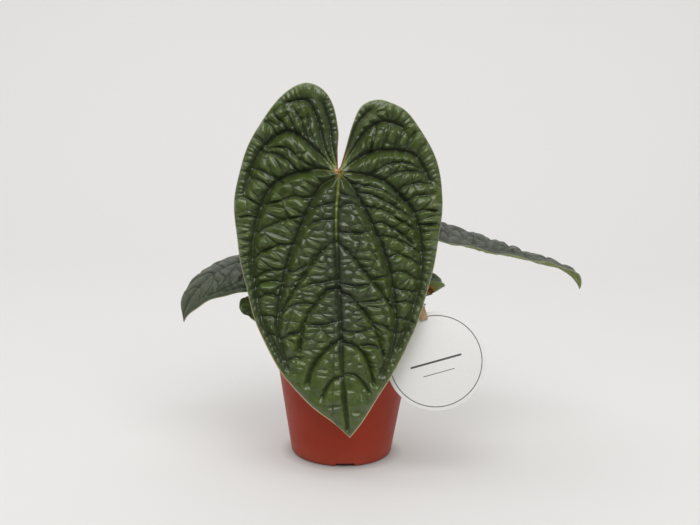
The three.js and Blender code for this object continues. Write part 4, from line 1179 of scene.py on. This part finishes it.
CARD_RADIUS = 40 * MM
CARD_THICKNESS = 0.6 * MM
CARD_CENTRE = (74.4, -64, 100.2)
CARD_LEAN = 8
CARD_TURN = 17
RING_RADIUS = 36.8 * MM
RING_WIDTH = 0.7 * MM
RULED_LINES = [  # height on the card, half length, half thickness
    (0.0, 21 * MM, 0.8 * MM), (-9.5 * MM, 13 * MM, 0.3 * MM)]
PEG_LENGTH = 30 * MM
PEG_WIDTH = 6 * MM
PEG_BITE = 5 * MM
PEG_JAW = 2.2 * MM
PEG_TAIL = 5.2 * MM
SPRING_PLACE = 11.2 * MM
WIRE_RADIUS = 0.45 * MM
COIL_RADIUS = 1.1 * MM
COIL_TURNS = 4
STICK_RADIUS = 1.25 * MM
STICK_FOOT = (18, -30, 62)
STICK_REACH = 20 * MM

card_middle = middle + Vector(CARD_CENTRE) * MM
card_frame = (Matrix.Translation(card_middle) @ Matrix.Rotation(math.radians(-CARD_LEAN), 4, "X")
              @ Matrix.Rotation(math.radians(-CARD_TURN), 4, "Y"))

card_paint = Paint("label_card", Roughness=0.75)
flat_on = card_paint.node("Mapping", {"vector_type": "TEXTURE"}, Vector=card_paint.where)
flat_on.inputs["Location"].default_value = card_middle
flat_on.inputs["Rotation"].default_value = card_frame.to_euler("XYZ")
on_card = card_paint.node("SeparateXYZ", Vector=flat_on.outputs[0])
across, depth, up_card = (on_card.outputs[axis] for axis in "XYZ")


def box_mask(paint, value, centre, half, soft):
    """1 where the value lies within half of the centre."""
    away = paint.math("ABSOLUTE", paint.math("SUBTRACT", value, centre), 0.0)
    return paint.between(away, half - soft, half + soft, 1.0, 0.0)


from_middle = card_paint.node("VectorMath", {"operation": "LENGTH"})
card_paint.links.new(flat_on.outputs[0], from_middle.inputs[0])
ring = box_mask(card_paint, from_middle.outputs["Value"], RING_RADIUS, RING_WIDTH / 2, 0.1 * MM)
ink = ring
for line_height, half_length, half_thickness in RULED_LINES:
    line = card_paint.times(
        box_mask(card_paint, up_card, line_height, half_thickness, 0.1 * MM),
        box_mask(card_paint, across, 0.0, half_length, 0.2 * MM))
    ink = card_paint.math("MAXIMUM", ink, line)
facing = card_paint.between(depth, -0.1 * MM, 0.1 * MM, 1.0, 0.0)
ink = card_paint.times(ink, facing)
pulp = card_paint.noise(1.5 * MM, 5, 0.6)
white = card_paint.tint(pulp, 0.3, 0.7, (0.86, 0.855, 0.84), (0.9, 0.895, 0.88))
card_paint.colour(card_paint.blend(ink, white, (0.09, 0.09, 0.09)))
card_paint.bump(pulp, 0.04 * MM, 0.5)

bpy.ops.mesh.primitive_cylinder_add(vertices=160, radius=CARD_RADIUS, depth=CARD_THICKNESS)
card = bpy.context.object
bpy.ops.object.mode_set(mode="EDIT")
bpy.ops.mesh.select_all(action="SELECT")
bpy.ops.mesh.bevel(offset=0.12 * MM, segments=2)
bpy.ops.object.mode_set(mode="OBJECT")
card.matrix_world = card_frame @ Matrix.Rotation(math.pi / 2, 4, "X")
smooth_shade(card, 40)
finished("round_label", ["label_card"], card_paint.material)

wood_paint = Paint("peg_wood", Roughness=0.6)
grain = wood_paint.fibres(0.7 * MM, 12, card_frame.to_euler("XYZ"), detail=5)
wood_paint.colour(wood_paint.tint(grain, 0.35, 0.7, (0.62, 0.44, 0.26), (0.42, 0.26, 0.13)))
wood_paint.bump(grain, 0.1 * MM, 0.6)

jaw_tips = CARD_RADIUS - PEG_BITE


def arm_face(z):
    return PEG_JAW + (PEG_TAIL - PEG_JAW) * z / PEG_LENGTH


jaw = 0.7 * MM
notch = COIL_RADIUS + GAP + 0.1 * MM
tail = PEG_TAIL - 1.8 * MM
ARM_OUTLINE = [
    (jaw, 0), (jaw, 8 * MM), (notch, SPRING_PLACE - 1.6 * MM), (notch, SPRING_PLACE + 1.6 * MM),
    (tail, PEG_LENGTH), (PEG_TAIL, PEG_LENGTH), (PEG_JAW, 0)]
for name, side in (("back", 1), ("front", -1)):
    arm = mesh_object("arm", [(-PEG_WIDTH / 2, side * y, jaw_tips + z) for y, z in ARM_OUTLINE],
                      [list(range(len(ARM_OUTLINE)))])
    bpy.ops.object.mode_set(mode="EDIT")
    bpy.ops.mesh.select_all(action="SELECT")
    bpy.ops.mesh.extrude_region_move(TRANSFORM_OT_translate={"value": (PEG_WIDTH, 0, 0)})
    face_outwards()
    bpy.ops.mesh.bevel(offset=0.25 * MM, segments=2)
    bpy.ops.object.mode_set(mode="OBJECT")
    arm.matrix_world = card_frame
    smooth_shade(arm, 40)
    finished(f"peg_arm_{name}_wood", [f"peg_arm_{name}"], wood_paint.material)

steel_paint = Paint("spring_wire", Metallic=1.0, Roughness=0.3)
steel_paint.colour(steel_paint.blend(
    steel_paint.noise(0.6 * MM, 3), (0.62, 0.62, 0.62), (0.45, 0.45, 0.46)))
across_peg = PEG_WIDTH / 2 + WIRE_RADIUS + GAP
behind_arm = arm_face(SPRING_PLACE) + WIRE_RADIUS + GAP
leg = [(-1.5 * MM, -behind_arm), (across_peg - 0.6 * MM, -behind_arm), (across_peg, -behind_arm + 0.8 * MM),
       (across_peg, -0.9 * MM)]
coil_middle = COIL_RADIUS - WIRE_RADIUS
coil = [
    Vector((across_peg * (1 - 2 * t), coil_middle * math.cos(math.tau * COIL_TURNS * t),
            coil_middle * math.sin(math.tau * COIL_TURNS * t)))
    for t in np.linspace(0.02, 0.98, 14 * COIL_TURNS)]
route = [Vector((x, y, 0)) for x, y in leg] + coil + [Vector((-x, -y, 0)) for x, y in reversed(leg)]
spring_level = Vector((0, 0, jaw_tips + SPRING_PLACE))
spring = tube(
    "spring", [card_frame @ (spot + spring_level) for spot in route], [WIRE_RADIUS] * len(route), 3)
smooth_shade(spring, 60)
finished("peg_spring_wire", ["peg_spring"], steel_paint.material)

stick_paint = Paint("stick_wood", Roughness=0.55)
stick_end = card_frame @ Vector((0, arm_face(STICK_REACH) + STICK_RADIUS * 0.9, jaw_tips + STICK_REACH))
stick_start = middle + Vector(STICK_FOOT) * MM
stick_way = (stick_end - stick_start).normalized()
fibre = stick_paint.fibres(0.4 * MM, 30, stick_way.to_track_quat("Z", "Y").to_euler("XYZ"))
bamboo = stick_paint.tint(fibre, 0.35, 0.7, (0.6, 0.44, 0.22), (0.42, 0.27, 0.11))
stick_paint.stained_colour(bamboo, 95 * MM)
stick_paint.bump(fibre, 0.08 * MM, 0.6)
stops = np.linspace(0, 1, 12)
stick_points = [stick_start.lerp(stick_end, t) for t in stops]
stick = tube("stick", stick_points, [STICK_RADIUS * (1 + 0.04 * math.sin(40 * t)) for t in stops], 5)
smooth_shade(stick, 60)
finished("bamboo_stick", ["label_stick"], stick_paint.material)


# ---------------------------------------------------------------- studio
# A seamless sweep of pale paper that glows with painted light, a large soft key light above the camera,
# a softer one overhead, an even surround, and the camera.

CAMERA_PLACE = (4.0, -960, 368)  # millimetres from the middle of the pot's foot
CAMERA_PITCH = 11.9
CAMERA_ROLL = 1.3
LENS = 60  # on a sensor 36 mm wide

SWEEP_HALF_WIDTH = 4
SWEEP_FRONT = -2.5
SWEEP_BACK = 0.75
SWEEP_ROUND = 0.5
SWEEP_TOP = 2.6

PAPER_GLOW = 0.36  # share of its colour that the paper glows with: painted light that lightens the shadows on it
PAPER_ROUND_POT = (0.9 * POT_FOOT_RADIUS, 1.25 * POT_FOOT_RADIUS)  # the glow fades in over this: a painted shadow round the pot's foot
FLAG_PLACE = -1.0  # strip of paper before the plant that lights it no more than a black card would
FLAG_HALF_DEPTH = 0.75
SURROUND_LIGHT = 0.27
SURROUND_SEEN = 0.78

paper_paint = Paint("backdrop", Roughness=0.9, Emission_Strength=PAPER_GLOW)
soft_grain = paper_paint.noise(0.4, 2)
wall = paper_paint.blend(soft_grain, (0.56, 0.56, 0.553), (0.573, 0.573, 0.566))
rise = paper_paint.height()
paper = paper_paint.tint(rise, 0.02, 0.5, (0.525, 0.517, 0.51), wall)
depth = paper_paint.node("SeparateXYZ", Vector=paper_paint.where).outputs["Y"]
under_flag = box_mask(paper_paint, depth, FLAG_PLACE, FLAG_HALF_DEPTH, 0.01)
unseen = paper_paint.math("SUBTRACT", 1.0, paper_paint.node("LightPath").outputs["Is Camera Ray"])
paper = paper_paint.blend(paper_paint.times(under_flag, unseen), paper, (0.01, 0.01, 0.01))
paper_paint.colour(paper)
# Painted light: the paper glows, which lightens the shadows cast on it; there is no glow under and close
# round the pot's foot, which paints a shadow there.
from_pot = paper_paint.node("VectorMath", {"operation": "DISTANCE"}, Vector=paper_paint.where)
from_pot.inputs[1].default_value = middle
glow = paper_paint.between(from_pot.outputs["Value"], *PAPER_ROUND_POT)
glow = paper_paint.blend(glow, (0, 0, 0), paper)
paper_paint.plug(glow, paper_paint.surface.inputs["Emission Color"])
paper_paint.material.cycles.emission_sampling = "NONE"

profile = [(SWEEP_FRONT, 0), (SWEEP_BACK, 0)]
profile += [(SWEEP_BACK + SWEEP_ROUND * math.sin(t), SWEEP_ROUND * (1 - math.cos(t)))
            for t in np.linspace(0.1, math.pi / 2, 14)]
profile.append((SWEEP_BACK + SWEEP_ROUND, SWEEP_TOP))
wide = [(x, y, z) for y, z in profile for x in (-SWEEP_HALF_WIDTH, SWEEP_HALF_WIDTH)]
strips = [(2 * i, 2 * i + 1, 2 * i + 3, 2 * i + 2) for i in range(len(profile) - 1)]
sweep = mesh_object("backdrop", wide, strips)
bpy.ops.object.shade_smooth()
sweep.data.materials.append(paper_paint.material)


def soft_light(name, place, aim, width, height, power):
    light = bpy.data.lights.new(name, "AREA")
    light.shape = "RECTANGLE"
    light.size, light.size_y, light.energy = width, height, power
    made = bpy.data.objects.new(name, light)
    bpy.context.scene.collection.objects.link(made)
    made.location = place
    made.rotation_euler = (Vector(aim) - Vector(place)).to_track_quat("-Z", "Y").to_euler()


soft_light("key", (0.25, -1.9, 2.5), (0, 0, 0.2), 2.9, 2.1, 76)
soft_light("overhead", (-0.35, 0.4, 1.9), (0, 0.05, 0.1), 3.0, 2.0, 21)

world = bpy.data.worlds.new("studio")
bpy.context.scene.world = world
world.use_nodes = True
surround = world.node_tree.nodes["Background"]
surround.inputs["Color"].default_value = (1.0, 0.97, 0.95, 1)
light_path = world.node_tree.nodes.new("ShaderNodeLightPath")
seen = world.node_tree.nodes.new("ShaderNodeMapRange")
seen.inputs["To Min"].default_value = SURROUND_LIGHT
seen.inputs["To Max"].default_value = SURROUND_SEEN
world.node_tree.links.new(light_path.outputs["Is Camera Ray"], seen.inputs["Value"])
world.node_tree.links.new(seen.outputs["Result"], surround.inputs["Strength"])
bpy.context.scene.view_settings.view_transform = "Standard"

pitch, roll = math.radians(CAMERA_PITCH), math.radians(CAMERA_ROLL)
look = Vector((0, math.cos(pitch), -math.sin(pitch)))
level_right = Vector((1, 0, 0))
level_up = level_right.cross(look)
right = math.cos(roll) * level_right + math.sin(roll) * level_up
up = math.cos(roll) * level_up - math.sin(roll) * level_right
camera = bpy.data.objects.new("camera", bpy.data.cameras.new("camera"))
bpy.context.scene.collection.objects.link(camera)
camera.data.sensor_width = 36
camera.data.lens = LENS
camera.data.clip_end = 20
camera.matrix_world = (Matrix.Translation(middle + Vector(CAMERA_PLACE) * MM)
                       @ Matrix((right, up, -look)).transposed().to_4x4())
bpy.context.scene.camera = camera
